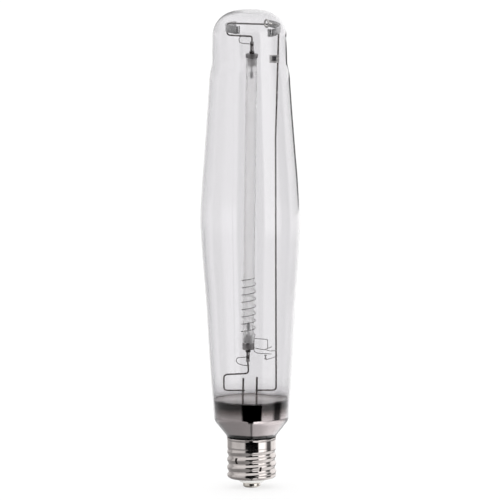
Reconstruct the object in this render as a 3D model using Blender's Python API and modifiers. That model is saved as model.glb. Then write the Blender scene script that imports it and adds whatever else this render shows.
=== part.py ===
"""High-pressure sodium grow lamp with a clear glass jacket and a mogul screw base.

Origin at the middle of the centre contact's lower face, +Z up the lamp's axis. The wires that
hold the arc tube lie in a plane across X, with the long return wire on the +X side.
Lengths below are in millimetres and are turned into metres by mm() and MM.
"""

import math

import bmesh
import bpy
from mathutils import Matrix, Vector

MM = 0.001

# Overall sizes
LAMP_LENGTH = 383.0
GLASS_WALL = 1.0
TUBE_RADIUS = 29.6  # the cylindrical stretch under the dome
TOUCHING_GAP = 0.3  # kept between pieces that touch

# Jacket
DOME_HEIGHT = 21.7
DOME_CORNER_RADIUS = 20.7
DOME_CROWN_RADIUS = 68.0
TUBE_FOOT_Z = 343.0
SIDE_OUTLINE = [  # (height, radius) down the bulged side
    (TUBE_FOOT_Z, TUBE_RADIUS),
    (336.6, 30.7),
    (330.1, 31.9),
    (322.0, 32.5),
    (298.0, 34.1),
    (266.0, 36.5),
    (240.0, 38.5),
    (214.5, 39.7),
    (189.0, 38.5),
    (150.0, 35.6),
    (105.0, 33.1),
    (57.5, 29.9),
]
SHOULDER_CORNER_RADIUS = 9.0
SHOULDER_SLOPE = math.radians(38)  # from the axis
NECK_RIM_RADIUS = 20.3
NECK_RIM_Z = 42.2
NECK_RADIUS = 17.4
NECK_END_Z = 14.5

# Screw base
SHELL_SHEET = 0.5
THREAD_CREST_RADIUS = 19.65
THREAD_DEPTH = 1.15
THREAD_PITCH = 6.35  # four threads to the inch
THREAD_TOP_Z = 32.5
THREAD_FOOT_Z = 9.5
COLLAR_RADIUS = 19.45
COLLAR_TOP_Z = 40.0
SHELL_FOOT_RADIUS = 16.6
SHELL_FOOT_Z = 7.2
LIP_RADIUS = 13.4
CONTACT_RADIUS = 6.95
CONTACT_HEIGHT = 3.6
LEAD_HOLE_RADIUS = 1.5

# Stem
STEM_RADIUS = 9.0
STEM_WALL = 1.2
STEM_TOP_Z = 50.0
PRESS_CENTRE_X = -1.7
PRESS_SIZE = (18.0, 6.5, 10.9)
PRESS_TOP_Z = 60.0
EXHAUST_RADIUS = 2.5
EXHAUST_WALL = 0.8
EXHAUST_FOOT_Z = 18.0
POST_RADIUS = 0.8
POST_DEPTH = 8.0
POST_FEET_X = (-7.3, 3.8)
POST_HEADS_X = (-6.2, 4.6)
POST_HEADS_Z = (87.4, 88.1)
LOWER_LEAD_RADIUS = 0.5

# Frame
FRAME_Y = -0.95
POST_Y = 0.95
FRAME_WIRE_RADIUS = 0.7
SUPPORT_WIRE_RADIUS = 0.65
BEND_RADIUS = 3.0
POST_WELD_Z = 77.8

# Arc tube, in its own frame: the middle of the tube is at ARC_CENTRE and it leans towards +X
ARC_CENTRE = (-0.32, FRAME_Y, 229.15)
ARC_LEAN = math.radians(1.0)
ARC_HALF = 118.6  # from the middle to the outer face of an end plug
ARC_RADIUS = 4.4
ARC_WALL = 0.8
UPPER_FLANGE = (4.8, 3.2)  # radius and height
LOWER_FLANGE = (4.5, 5.2)
PLUG_DEPTH = 6.0
NIOBIUM_RADIUS = 1.5
NIOBIUM_WALL = 0.5
NIOBIUM_OUTSIDE = 9.8  # how far a niobium tube stands out of its plug
NIOBIUM_INSIDE = 7.5
WIRE_IN_TUBE = 4.5  # how far a wire reaches into its niobium tube
FRIT_RADIUS = 2.1
FRIT_HEIGHT = 1.7
ELECTRODE_RADIUS = 0.5
ELECTRODE_LENGTH = 9.0
ELECTRODE_COIL_RADIUS = 1.1
ELECTRODE_COIL_TURNS = 6

# Starting aid and its switch
AID_TURNS = 8
AID_PITCH = 5.86
AID_FOOT_Z = 121.6
AID_RADIUS = 5.6
AID_WIRE_RADIUS = 0.27
AID_TAIL_ANGLE = math.radians(-35)
STRIP_THICKNESS = 0.3
BLADE_WIDTH = 3.0
BLADE_ROOT = (15.5, 109.6)
BLADE_TURN = (10.9, 110.9)
BLADE_END = (16.4, 113.2)
SPOOL_X = 11.5
SPOOL_Z = (103.3, 106.7)

# Springs and getters in the dome
SPRING_HEIGHT = 6.0
SPRING_THICKNESS = 0.3
SPRING_PLANS = {  # (x, y) of the middle, the back end and the start of the front end's roll
    "left": ((-18.95, 0.0), (-10.5, 21.8), (-11.3, -21.2)),
    "right": ((24.5, 0.0), (15.4, 18.7), (17.9, -17.0)),
}
SPRING_ROLL_RADIUS = 2.0
SPRING_Z = {"left": 369.0, "right": 368.2}
SPRING_SLANT = {"left": -0.3, "right": 1.8}  # the back end stands this much above the middle
RING_GETTER_CENTRE = (13.6, -5.0, 372.5)
RING_GETTER_RADIUS = 2.9
RING_GETTER_SECTION = 0.75
RING_GETTER_TURN = math.radians(-58)
FLAT_GETTER_CENTRE = (19.4, -3.2, 344.2)
FLAT_GETTER_SIZE = (3.3, 1.2, 3.6)
FLAT_GETTER_TAB_X = (15.7, 23.3)
FLAT_GETTER_TAB_HEIGHT = 6.2

TURN_SEGMENTS = 32


def mm(x, y, z):
    """A point given in millimetres, in metres."""
    return Vector((x, y, z)) * MM


# Scene and materials


def clear_scene():
    """Remove the objects that are there already."""
    for item in list(bpy.data.objects):
        bpy.data.objects.remove(item, do_unlink=True)


def make_collection(name):
    """A new collection in the scene."""
    collection = bpy.data.collections.new(name)
    bpy.context.scene.collection.children.link(collection)
    return collection


def material(name, colour, roughness, metallic, alpha=1.0):
    """A Principled material of one plain colour."""
    made = bpy.data.materials.new(name)
    made.use_nodes = True
    shader = made.node_tree.nodes["Principled BSDF"]
    shader.inputs["Base Color"].default_value = (*colour, 1)
    shader.inputs["Roughness"].default_value = roughness
    shader.inputs["Metallic"].default_value = metallic
    shader.inputs["Alpha"].default_value = alpha
    made.diffuse_color = (*colour, alpha)
    return made


clear_scene()
LAMP = make_collection("grow_lamp")
CUTTERS = make_collection("cutters")


def place(name, data, finish, parent=None):
    """An object of this mesh or curve in the lamp's collection, with its own material."""
    item = bpy.data.objects.new(name, data)
    LAMP.objects.link(item)
    data.materials.append(finish)
    item.parent = parent
    return item


# Outlines


def arc(centre, radius, start, end, steps):
    """Points (r, z) on an arc, angles in degrees from the +r direction, with both ends."""
    points = []
    for step in range(steps + 1):
        angle = math.radians(start + (end - start) * step / steps)
        points.append((centre[0] + radius * math.cos(angle), centre[1] + radius * math.sin(angle)))
    return points


def smooth_outline(stations, step):
    """A curve through (z, r) stations, as (r, z) points about a step apart in height."""
    slopes = []
    for index in range(len(stations)):
        low = stations[max(index - 1, 0)]
        high = stations[min(index + 1, len(stations) - 1)]
        slopes.append((high[1] - low[1]) / (high[0] - low[0]))
    slopes[0] = 0.0
    points = []
    for (z0, r0), (z1, r1), m0, m1 in zip(stations, stations[1:], slopes, slopes[1:]):
        pieces = max(1, round(abs(z1 - z0) / step))
        for piece in range(pieces):
            t = piece / pieces
            h = z1 - z0
            r = (
                (2 * t**3 - 3 * t**2 + 1) * r0
                + (t**3 - 2 * t**2 + t) * h * m0
                + (3 * t**2 - 2 * t**3) * r1
                + (t**3 - t**2) * h * m1
            )
            points.append((r, z0 + h * t))
    points.append((stations[-1][1], stations[-1][0]))
    return points


def dome_outline(steps):
    """The dome: a wide crown arc that runs into a tighter corner arc, down to the cylinder."""
    corner_r = TUBE_RADIUS - DOME_CORNER_RADIUS
    corner_z = LAMP_LENGTH - DOME_HEIGHT
    crown_z = LAMP_LENGTH - DOME_CROWN_RADIUS
    meet = math.degrees(math.atan2(corner_z - crown_z, corner_r))
    crown = arc((0, crown_z), DOME_CROWN_RADIUS, 90, meet, steps // 2)
    crown[0] = (0.0, LAMP_LENGTH)
    corner = arc((corner_r, corner_z), DOME_CORNER_RADIUS, meet, 0, steps)
    return crown + corner[1:]


def shoulder_outline(steps):
    """From the foot of the side: a corner, a straight cone, and the rim turning into the neck."""
    foot_z, foot_r = SIDE_OUTLINE[-1]
    turn = math.degrees(SHOULDER_SLOPE)
    radius = SHOULDER_CORNER_RADIUS
    corner = arc((foot_r - radius, foot_z), radius, 0, -turn, steps)
    points = corner[1:]
    points.append((NECK_RIM_RADIUS, NECK_RIM_Z))
    points.append((NECK_RIM_RADIUS - 0.5, NECK_RIM_Z - 1.3))
    points.append((NECK_RADIUS + 0.5, NECK_RIM_Z - 2.2))
    points.append((NECK_RADIUS, NECK_RIM_Z - 4.0))
    points.append((NECK_RADIUS, NECK_END_Z))
    return points


def jacket_outline():
    """The jacket's outer outline, from the top of the dome down to the end of the neck."""
    return dome_outline(6) + smooth_outline(SIDE_OUTLINE, 20.0) + shoulder_outline(3)


def helix(radius, pitch, turns, foot_z, start_angle, points_per_turn=12):
    """Points up a right-handed helix about the Z axis."""
    points = []
    for step in range(turns * points_per_turn + 1):
        angle = start_angle + 2 * math.pi * step / points_per_turn
        rise = foot_z + pitch * step / points_per_turn
        points.append((radius * math.cos(angle), radius * math.sin(angle), rise))
    return points


def rounded(points, radius, steps=4):
    """A path through points (x, y, z) with its corners rounded to a radius."""
    corners = [Vector(point) for point in points]
    path = [corners[0]]
    for before, corner, after in zip(corners, corners[1:], corners[2:]):
        towards, onwards = (before - corner).normalized(), (after - corner).normalized()
        half = towards.angle(onwards) / 2
        reach = min(
            radius / math.tan(half),
            (before - corner).length * 0.49,
            (after - corner).length * 0.49,
        )
        if reach < 0.05:
            path.append(corner)
            continue
        for step in range(steps + 1):
            t = step / steps
            start, end = corner + towards * reach, corner + onwards * reach
            path.append(start * (1 - t) ** 2 + corner * 2 * t * (1 - t) + end * t**2)
    path.append(corners[-1])
    return path


# Making solids


def polyline_mesh(name, points, closed):
    """A mesh of the edges that join (x, y, z) points in millimetres."""
    mesh = bpy.data.meshes.new(name)
    edges = [(i, i + 1) for i in range(len(points) - 1)]
    if closed:
        edges.append((len(points) - 1, 0))
    mesh.from_pydata([mm(*point) for point in points], edges, [])
    return mesh


def smooth(item, angle=35):
    """Shade a mesh object smooth, but keep its sharp edges."""
    item.data.shade_smooth()
    item.data.set_sharp_from_angle(angle=math.radians(angle))


def turned(name, outline, finish, closed=False, segments=TURN_SEGMENTS, parent=None):
    """A body of revolution about Z from an (r, z) outline that runs down its outer side."""
    mesh = polyline_mesh(name, [(r, 0, z) for r, z in outline], closed)
    item = place(name, mesh, finish, parent)
    screw = item.modifiers.new("Turn", "SCREW")
    screw.axis = "Z"
    screw.angle = 2 * math.pi
    screw.steps = segments
    screw.render_steps = segments
    screw.use_merge_vertices = True
    screw.merge_threshold = 0.00002
    screw.use_smooth_shade = True
    return item


def as_mesh(item):
    """Turn an object with modifiers, or a curve, into a plain mesh object of the same name."""
    graph = bpy.context.evaluated_depsgraph_get()
    mesh = bpy.data.meshes.new_from_object(item.evaluated_get(graph))
    shape = bmesh.new()
    shape.from_mesh(mesh)
    bmesh.ops.remove_doubles(shape, verts=shape.verts, dist=0.00002)
    shape.to_mesh(mesh)
    shape.free()
    name, parent, spot = item.name, item.parent, item.matrix_world.copy()
    bpy.data.objects.remove(item, do_unlink=True)
    made = bpy.data.objects.new(name, mesh)
    LAMP.objects.link(made)
    made.parent = parent
    made.matrix_world = spot
    return made


def solidify(item, thickness, offset):
    """Give an open surface its sheet thickness: offset -1 inwards, 0 to both sides."""
    sheet = item.modifiers.new("Sheet", "SOLIDIFY")
    sheet.thickness = thickness * MM
    sheet.offset = offset
    sheet.use_even_offset = True
    return item


def wire(name, points, radius, finish, parent=None, roundness=1):
    """A round wire along points in millimetres, with closed ends."""
    curve = bpy.data.curves.new(name, "CURVE")
    curve.dimensions = "3D"
    curve.bevel_depth = radius * MM
    curve.bevel_resolution = roundness
    curve.use_fill_caps = True
    spline = curve.splines.new("POLY")
    spline.points.add(len(points) - 1)
    for knot, point in zip(spline.points, points):
        knot.co = (*mm(*point), 1)
    return place(name, curve, finish, parent)


def ribbon(name, points, width_vector, thickness, finish):
    """A flat strip: a path in millimetres, widened along a vector and given a thickness."""
    half = Vector(width_vector) / 2
    item = place(name, polyline_mesh(name, [Vector(p) - half for p in points], False), finish)
    shape = bmesh.new()
    shape.from_mesh(item.data)
    grown = bmesh.ops.extrude_edge_only(shape, edges=shape.edges[:])
    added = [part for part in grown["geom"] if isinstance(part, bmesh.types.BMVert)]
    bmesh.ops.translate(shape, verts=added, vec=mm(*width_vector))
    shape.to_mesh(item.data)
    shape.free()
    return solidify(item, thickness, 0)


def box(name, centre, size, finish, edge=0.0):
    """A block with its edges rounded a little."""
    mesh = bpy.data.meshes.new(name)
    shape = bmesh.new()
    bmesh.ops.create_cube(shape, size=1.0)
    bmesh.ops.scale(shape, verts=shape.verts, vec=mm(*size))
    bmesh.ops.translate(shape, verts=shape.verts, vec=mm(*centre))
    shape.to_mesh(mesh)
    shape.free()
    item = place(name, mesh, finish)
    if edge:
        bevel = item.modifiers.new("Edges", "BEVEL")
        bevel.width = edge * MM
        bevel.segments = 2
    return item


def rod_cutter(name, foot, head, radius):
    """A cylinder between two points, kept as a cutter."""
    foot, head = mm(*foot), mm(*head)
    mesh = bpy.data.meshes.new(name)
    shape = bmesh.new()
    bmesh.ops.create_cone(
        shape,
        cap_ends=True,
        segments=16,
        radius1=radius * MM,
        radius2=radius * MM,
        depth=(head - foot).length,
    )
    shape.to_mesh(mesh)
    shape.free()
    item = bpy.data.objects.new(name, mesh)
    CUTTERS.objects.link(item)
    item.matrix_world = Matrix.Translation((foot + head) / 2) @ (
        (head - foot).to_track_quat("Z", "Y").to_matrix().to_4x4()
    )
    item.hide_render = True
    item.display_type = "WIRE"
    return item


def boolean(item, other, operation):
    """Cut another object out of this one, or join it on."""
    change = item.modifiers.new(operation.title(), "BOOLEAN")
    change.operation = operation
    change.solver = "EXACT"
    change.object = other


# The jacket and the base


def build_jacket():
    """The glass jacket: dome, bulged side, shoulder and neck, open at the end of the neck."""
    glass = material("clear_glass", (0.86, 0.87, 0.88), 0.02, 0.0, alpha=0.25)
    jacket = turned("outer_jacket", jacket_outline(), glass)
    solidify(jacket, GLASS_WALL, -1)


def build_getter_mirror():
    """The getter's metal film: a thin lining of the lower side and shoulder."""
    mirror = material("getter_mirror_film", (0.30, 0.27, 0.26), 0.08, 1.0)
    inset = GLASS_WALL + TOUCHING_GAP
    foot_z = SIDE_OUTLINE[-1][0]
    outline = [(30.75 - inset, 71.0), (30.25 - inset, 64.0)]
    outline += [(r - inset, z) for r, z in [(SIDE_OUTLINE[-1][1], foot_z)] + shoulder_outline(3)[:3]]
    outline.append((NECK_RIM_RADIUS - inset + 0.9, NECK_RIM_Z + 1.2))
    film = turned("getter_mirror", outline, mirror)
    solidify(film, 0.15, -1)


def thread_radius(angle, z):
    """The shell's outer radius on its threaded stretch, which fades out at both ends."""
    fade_top = min(1.0, max(0.0, (THREAD_TOP_Z - z) / (THREAD_PITCH * 0.6)))
    fade_foot = min(1.0, max(0.0, (z - THREAD_FOOT_Z) / (THREAD_PITCH * 0.3)))
    turns = z / THREAD_PITCH - angle / (2 * math.pi)
    groove = 0.5 - 0.5 * math.cos(2 * math.pi * turns)
    return -THREAD_DEPTH * groove * fade_top * fade_foot


def build_screw_shell():
    """The screw shell: collar, rolled round thread and a lower edge turned in to a lip."""
    nickel = material("nickel_plate", (0.72, 0.70, 0.68), 0.15, 1.0)
    outline = [
        (COLLAR_RADIUS + 0.25, COLLAR_TOP_Z),
        (COLLAR_RADIUS, COLLAR_TOP_Z - 1.2),
        (COLLAR_RADIUS, (COLLAR_TOP_Z + THREAD_TOP_Z) / 2),
    ]
    rows = round((THREAD_TOP_Z - THREAD_FOOT_Z) / (THREAD_PITCH / 5))
    for row in range(rows + 1):
        share = row / rows
        radius = COLLAR_RADIUS + (THREAD_CREST_RADIUS - COLLAR_RADIUS) * min(1.0, share * 3)
        outline.append((radius, THREAD_TOP_Z + (THREAD_FOOT_Z - THREAD_TOP_Z) * share))
    foot_corner = THREAD_FOOT_Z - SHELL_FOOT_Z
    outline.append((THREAD_CREST_RADIUS - 0.9, THREAD_FOOT_Z - foot_corner * 0.55))
    outline.append((THREAD_CREST_RADIUS - 2.0, SHELL_FOOT_Z + 0.2))
    outline.append((SHELL_FOOT_RADIUS, SHELL_FOOT_Z))
    outline.append((LIP_RADIUS, SHELL_FOOT_Z))
    shell = as_mesh(turned("screw_shell", outline, nickel))
    for vertex in shell.data.vertices:
        z = vertex.co.z / MM
        if THREAD_FOOT_Z < z < THREAD_TOP_Z:
            angle = math.atan2(vertex.co.y, vertex.co.x)
            radius = math.hypot(vertex.co.x, vertex.co.y) / MM
            scale = (radius + thread_radius(angle, z)) / radius
            vertex.co.x *= scale
            vertex.co.y *= scale
    solidify(shell, SHELL_SHEET, -1)
    smooth(shell, 60)


def build_base_end():
    """The insulator cone, the eyelet under it and the solder in the eyelet."""
    ceramic = material("white_ceramic", (0.86, 0.85, 0.82), 0.35, 0.0)
    plated = material("plated_eyelet", (0.70, 0.66, 0.60), 0.25, 1.0)
    solder = material("solder", (0.42, 0.42, 0.43), 0.45, 1.0)
    flange_z = SHELL_FOOT_Z + SHELL_SHEET + TOUCHING_GAP
    neck = LIP_RADIUS - TOUCHING_GAP
    foot_z = CONTACT_HEIGHT + TOUCHING_GAP
    insulator = [
        (SHELL_FOOT_RADIUS - 0.9, 11.0),
        (SHELL_FOOT_RADIUS - 0.9, flange_z),
        (neck, flange_z),
        (neck, SHELL_FOOT_Z),
        (8.8, foot_z + 0.5),
        (8.4, foot_z),
        (LEAD_HOLE_RADIUS, foot_z),
        (LEAD_HOLE_RADIUS, 11.0),
    ]
    turned("base_insulator", insulator, ceramic, closed=True, segments=24)
    corner = 1.1
    contact = [(CONTACT_RADIUS, CONTACT_HEIGHT)]
    contact += arc((CONTACT_RADIUS - corner, corner), corner, 0, -90, 4)
    contact += [(LEAD_HOLE_RADIUS, 0.0), (LEAD_HOLE_RADIUS, CONTACT_HEIGHT)]
    turned("centre_contact", contact, plated, closed=True, segments=24)
    plug_radius = LEAD_HOLE_RADIUS - TOUCHING_GAP
    plug = [(0.0, 2.0), (plug_radius, 2.0), (plug_radius, 0.35), (plug_radius * 0.6, 0.08), (0.0, 0.08)]
    turned("contact_solder", plug, solder, segments=16)


# The stem and its leads


def build_stem():
    """The flared stem with its pressed top, and the blind holes that the posts stand in."""
    glass = material("stem_glass", (0.80, 0.84, 0.84), 0.05, 0.0, alpha=0.45)
    inner = STEM_RADIUS - STEM_WALL
    outline = [(0.0, STEM_TOP_Z), (STEM_RADIUS - 2.5, STEM_TOP_Z - 0.5), (STEM_RADIUS, STEM_TOP_Z - 4.0)]
    outline += [(STEM_RADIUS, 27.0), (10.2, 22.0), (12.6, 18.2), (15.9, 15.6), (15.9, 14.6)]
    outline += [(14.8, 14.6), (11.6, 17.2), (9.1, 21.2), (inner, 27.0)]
    outline += [(inner, STEM_TOP_Z - 5.0), (inner - 2.5, STEM_TOP_Z - 1.9), (0.0, STEM_TOP_Z - 1.5)]
    stem = turned("stem_glass", outline, glass, segments=24)
    press_z = PRESS_TOP_Z - PRESS_SIZE[2] / 2
    press = box("press", (PRESS_CENTRE_X, 0, press_z), PRESS_SIZE, glass, edge=1.5)
    LAMP.objects.unlink(press)
    CUTTERS.objects.link(press)
    press.hide_render = True
    press.display_type = "WIRE"
    boolean(stem, press, "UNION")
    for side, (foot_x, head_x) in zip(("left", "right"), zip(POST_FEET_X, POST_HEADS_X)):
        foot = (foot_x, POST_Y, PRESS_TOP_Z - POST_DEPTH)
        head = (foot_x + (head_x - foot_x) * 0.3, POST_Y, PRESS_TOP_Z + 2)
        cutter = rod_cutter(f"post_hole_{side}", foot, head, POST_RADIUS + TOUCHING_GAP)
        boolean(stem, cutter, "DIFFERENCE")
    top = STEM_TOP_Z - 1.5 - TOUCHING_GAP - 0.4
    bore = EXHAUST_RADIUS - EXHAUST_WALL
    tube = [(EXHAUST_RADIUS, top), (EXHAUST_RADIUS, EXHAUST_FOOT_Z + 3.0), (1.2, EXHAUST_FOOT_Z + 0.8)]
    tube += [(0.0, EXHAUST_FOOT_Z), (0.0, EXHAUST_FOOT_Z + 2.2), (bore, EXHAUST_FOOT_Z + 4.0), (bore, top)]
    turned("exhaust_tube", tube, glass, closed=True, segments=16)


def build_leads():
    """The stiff posts above the press and the soft leads below it."""
    nickel = material("nickel_post", (0.30, 0.28, 0.27), 0.35, 1.0)
    copper = material("lead_copper", (0.60, 0.40, 0.28), 0.4, 1.0)
    sides = zip(("left", "right"), POST_FEET_X, POST_HEADS_X, POST_HEADS_Z)
    for side, foot_x, head_x, head_z in sides:
        foot = (foot_x, POST_Y, PRESS_TOP_Z - POST_DEPTH + TOUCHING_GAP)
        wire(f"lead_post_{side}", [foot, (head_x, POST_Y, head_z)], POST_RADIUS, nickel)
    top = STEM_TOP_Z - 7.0
    centre = [(-6.2, 0, top), (-6.2, 0, 19.0), (0, 0, 13.5), (0, 0, CONTACT_HEIGHT - 1.2)]
    wire("centre_lead", rounded(centre, 3.0), LOWER_LEAD_RADIUS, copper)
    shell_reach = COLLAR_RADIUS - SHELL_SHEET - 0.9
    side_lead = [(4.9, 0, top), (4.9, 0, 16.5), (8.5, 0, 12.7), (shell_reach, 0, 12.5)]
    wire("shell_lead", rounded(side_lead, 2.0), LOWER_LEAD_RADIUS, copper)


# The frame that carries the arc tube


def on_arc_axis(z):
    """The point at a height z in the arc tube's own frame, in the lamp's millimetres."""
    x, y, middle = ARC_CENTRE
    return (x + z * math.sin(ARC_LEAN), y, middle + z * math.cos(ARC_LEAN))


def build_frame():
    """The long return wire and the short lower support wire."""
    steel = material("nickelled_wire", (0.36, 0.34, 0.33), 0.35, 1.0)
    y = FRAME_Y
    tube_mouth = ARC_HALF + NIOBIUM_OUTSIDE
    upper = [
        (3.6, y, POST_WELD_Z),
        (19.8, y, POST_WELD_Z),
        (20.3, y, 280.0),
        (22.5, y, 345.0),
        (23.3, y, 371.0),
        (-17.8, y, 372.5),
        (-17.8, y, 362.8),
        (1.9, y, 361.7),
        on_arc_axis(tube_mouth + 1.2),
        on_arc_axis(tube_mouth - WIRE_IN_TUBE),
    ]
    wire("frame_wire", rounded(upper, BEND_RADIUS), FRAME_WIRE_RADIUS, steel)
    lower = [
        (-5.0, y, POST_WELD_Z),
        (-21.7, y, POST_WELD_Z),
        (-21.7, y, 90.5),
        (-1.9, y, 91.4),
        on_arc_axis(-tube_mouth - 1.2),
        on_arc_axis(-tube_mouth + WIRE_IN_TUBE),
    ]
    wire("lower_support_wire", rounded(lower, BEND_RADIUS), SUPPORT_WIRE_RADIUS, steel)


def spring_path(side, steps=14, roll_steps=6):
    """Plan of one bumper spring from back to front, with its front end rolled inwards."""
    middle, back, front = SPRING_PLANS[side]
    height, slant = SPRING_Z[side], SPRING_SLANT[side]
    path = []
    for step in range(steps + 1):
        share = 1 - 2 * step / steps
        end = back if share > 0 else front
        x = middle[0] + (end[0] - middle[0]) * share**2
        path.append((x, end[1] * abs(share), height + slant * share))
    inwards = math.copysign(1, front[0] - middle[0])
    heading = math.atan2(2 * abs(front[0] - middle[0]), abs(front[1]))
    for step in range(1, roll_steps + 1):
        turn = heading + math.radians(200) * step / roll_steps
        x = front[0] + inwards * SPRING_ROLL_RADIUS * (math.cos(heading) - math.cos(turn))
        y = front[1] - SPRING_ROLL_RADIUS * (math.sin(turn) - math.sin(heading))
        path.append((x, y, height - slant))
    return path


def build_springs():
    """The two leaf springs, bowed in plan, that touch the dome's wall in front and behind."""
    steel = material("spring_steel", (0.42, 0.41, 0.40), 0.3, 1.0)
    across = (0, 0, SPRING_HEIGHT)
    for side in ("left", "right"):
        ribbon(f"bumper_spring_{side}", spring_path(side), across, SPRING_THICKNESS, steel)


def build_getters():
    """The ring getter on its strip, and the small square getter on its tab."""
    steel = material("getter_steel", (0.70, 0.69, 0.66), 0.35, 1.0)
    dark = material("getter_powder", (0.10, 0.10, 0.11), 0.7, 0.3)
    x, y, z = RING_GETTER_CENTRE
    bpy.ops.mesh.primitive_torus_add(
        major_radius=RING_GETTER_RADIUS * MM,
        minor_radius=RING_GETTER_SECTION * MM,
        major_segments=24,
        minor_segments=8,
        location=mm(x, y, z),
        rotation=(math.radians(90), 0, RING_GETTER_TURN),
    )
    ring = bpy.context.object
    ring.name = "ring_getter"
    for collection in list(ring.users_collection):
        collection.objects.unlink(ring)
    LAMP.objects.link(ring)
    ring.data.materials.append(steel)
    smooth(ring)
    wire_front = FRAME_Y - FRAME_WIRE_RADIUS - TOUCHING_GAP
    holder = [
        (x + 1.9, y + 1.3, z),
        (x + 4.5, wire_front - 0.4, z - 0.9),
        (20.5, wire_front - 0.2, z - 1.3),
    ]
    ribbon("ring_getter_holder", rounded(holder, 1.0, 3), (0, 0, 1.6), 0.3, steel)
    gx, gy, gz = FLAT_GETTER_CENTRE
    box("flat_getter", (gx, gy, gz), FLAT_GETTER_SIZE, dark, edge=0.3)
    tab_y = gy + FLAT_GETTER_SIZE[1] / 2 + TOUCHING_GAP + 0.1
    tab = [(x, tab_y, gz - 0.5) for x in FLAT_GETTER_TAB_X]
    ribbon("flat_getter_tab", tab, (0, 0, FLAT_GETTER_TAB_HEIGHT), 0.2, steel)


# The arc tube and what rides with it


def build_arc_tube():
    """The alumina tube with its plugs, feedthroughs, seals and electrodes, along its own axis."""
    axis = bpy.data.objects.new("arc_tube_axis", None)
    LAMP.objects.link(axis)
    axis.location = mm(*ARC_CENTRE)
    axis.rotation_euler = (0, ARC_LEAN, 0)
    alumina = material("alumina", (0.80, 0.79, 0.77), 0.4, 0.0)
    upper_end = ARC_HALF - UPPER_FLANGE[1] - TOUCHING_GAP
    lower_end = -ARC_HALF + LOWER_FLANGE[1] + TOUCHING_GAP
    bore = ARC_RADIUS - ARC_WALL
    tube = [(ARC_RADIUS, upper_end), (ARC_RADIUS, lower_end), (bore, lower_end), (bore, upper_end)]
    turned("arc_tube", tube, alumina, closed=True, segments=24, parent=axis)
    for end, flange in (("upper", UPPER_FLANGE), ("lower", LOWER_FLANGE)):
        build_arc_tube_end(end, flange, axis)


def mirrored(outline, sign):
    """The outline for the upper end, or turned over for the lower one."""
    if sign > 0:
        return outline
    return [(r, -z) for r, z in reversed(outline)]


def build_arc_tube_end(end, flange, axis):
    """One end of the arc tube, worked out for the upper end and turned over for the lower."""
    sign = 1 if end == "upper" else -1
    plug_grey = material(f"{end}_end_ceramic", (0.40, 0.40, 0.41), 0.5, 0.0)
    frit = material(f"{end}_frit", (0.06, 0.05, 0.05), 0.5, 0.0)
    niobium = material(f"{end}_niobium", (0.22, 0.21, 0.21), 0.35, 1.0)
    tungsten = material(f"{end}_tungsten", (0.20, 0.20, 0.21), 0.4, 1.0)
    radius, height = flange
    seat = ARC_HALF - height
    plug_radius = ARC_RADIUS - ARC_WALL - TOUCHING_GAP
    hole = NIOBIUM_RADIUS + TOUCHING_GAP
    plug = [(radius, ARC_HALF), (radius, seat), (plug_radius, seat), (plug_radius, seat - PLUG_DEPTH)]
    plug += [(hole, seat - PLUG_DEPTH), (hole, ARC_HALF)]
    turned(f"{end}_end_plug", mirrored(plug, sign), plug_grey, True, 20, axis)
    foot = ARC_HALF + TOUCHING_GAP
    frit_top = foot + FRIT_HEIGHT
    ring = [(FRIT_RADIUS - 0.3, frit_top), (FRIT_RADIUS, frit_top - 0.4), (FRIT_RADIUS, foot)]
    ring += [(hole, foot), (hole, frit_top)]
    turned(f"{end}_frit_ring", mirrored(ring, sign), frit, True, 16, axis)
    mouth = ARC_HALF + NIOBIUM_OUTSIDE
    bore = NIOBIUM_RADIUS - NIOBIUM_WALL
    bore_floor = mouth - WIRE_IN_TUBE - 3.0
    inner_end = seat - NIOBIUM_INSIDE
    tube = [(0.0, bore_floor), (bore, bore_floor), (bore, mouth), (NIOBIUM_RADIUS, mouth)]
    tube += [(NIOBIUM_RADIUS, inner_end), (0.0, inner_end)]
    turned(f"{end}_niobium_tube", mirrored(tube, sign), niobium, False, 16, axis)
    rod_head = inner_end - TOUCHING_GAP
    rod = [(0, 0, sign * rod_head), (0, 0, sign * (rod_head - ELECTRODE_LENGTH))]
    wire(f"{end}_electrode_rod", rod, ELECTRODE_RADIUS, tungsten, axis)
    coil_pitch = 0.75
    coil_foot = rod_head - ELECTRODE_LENGTH + 1.0
    coil = helix(ELECTRODE_COIL_RADIUS, coil_pitch, ELECTRODE_COIL_TURNS, coil_foot, 0, 8)
    coil = [(x, y, sign * z) for x, y, z in coil]
    wire(f"{end}_electrode_coil", coil, 0.28, tungsten, axis, roundness=0)


def build_straps():
    """The flexible straps that carry current between a wire and a niobium tube that slides on it."""
    nickel = material("strap_nickel", (0.30, 0.29, 0.29), 0.35, 1.0)
    strap_radius = 0.3
    tube_y = FRAME_Y - NIOBIUM_RADIUS - TOUCHING_GAP - strap_radius - 0.05
    wire_y = FRAME_Y - FRAME_WIRE_RADIUS - TOUCHING_GAP - strap_radius - 0.05
    upper = [
        (1.9, tube_y, 355.8),
        (-5.6, wire_y, 356.4),
        (-8.0, wire_y, 357.1),
        (-8.4, wire_y, 359.6),
        (-7.0, wire_y, 362.0),
        (-2.0, wire_y, 361.9),
    ]
    wire("upper_strap", rounded(upper, 1.2), strap_radius, nickel)
    lower = [
        (-2.6, tube_y, 104.9),
        (-10.9, wire_y, 104.2),
        (-12.0, wire_y, 101.9),
        (-10.7, wire_y, 99.6),
        (-7.4, wire_y, 98.4),
        (-2.2, wire_y, 97.7),
    ]
    wire("lower_strap", rounded(lower, 1.2), strap_radius, nickel)


# The starting aid and its switch


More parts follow.
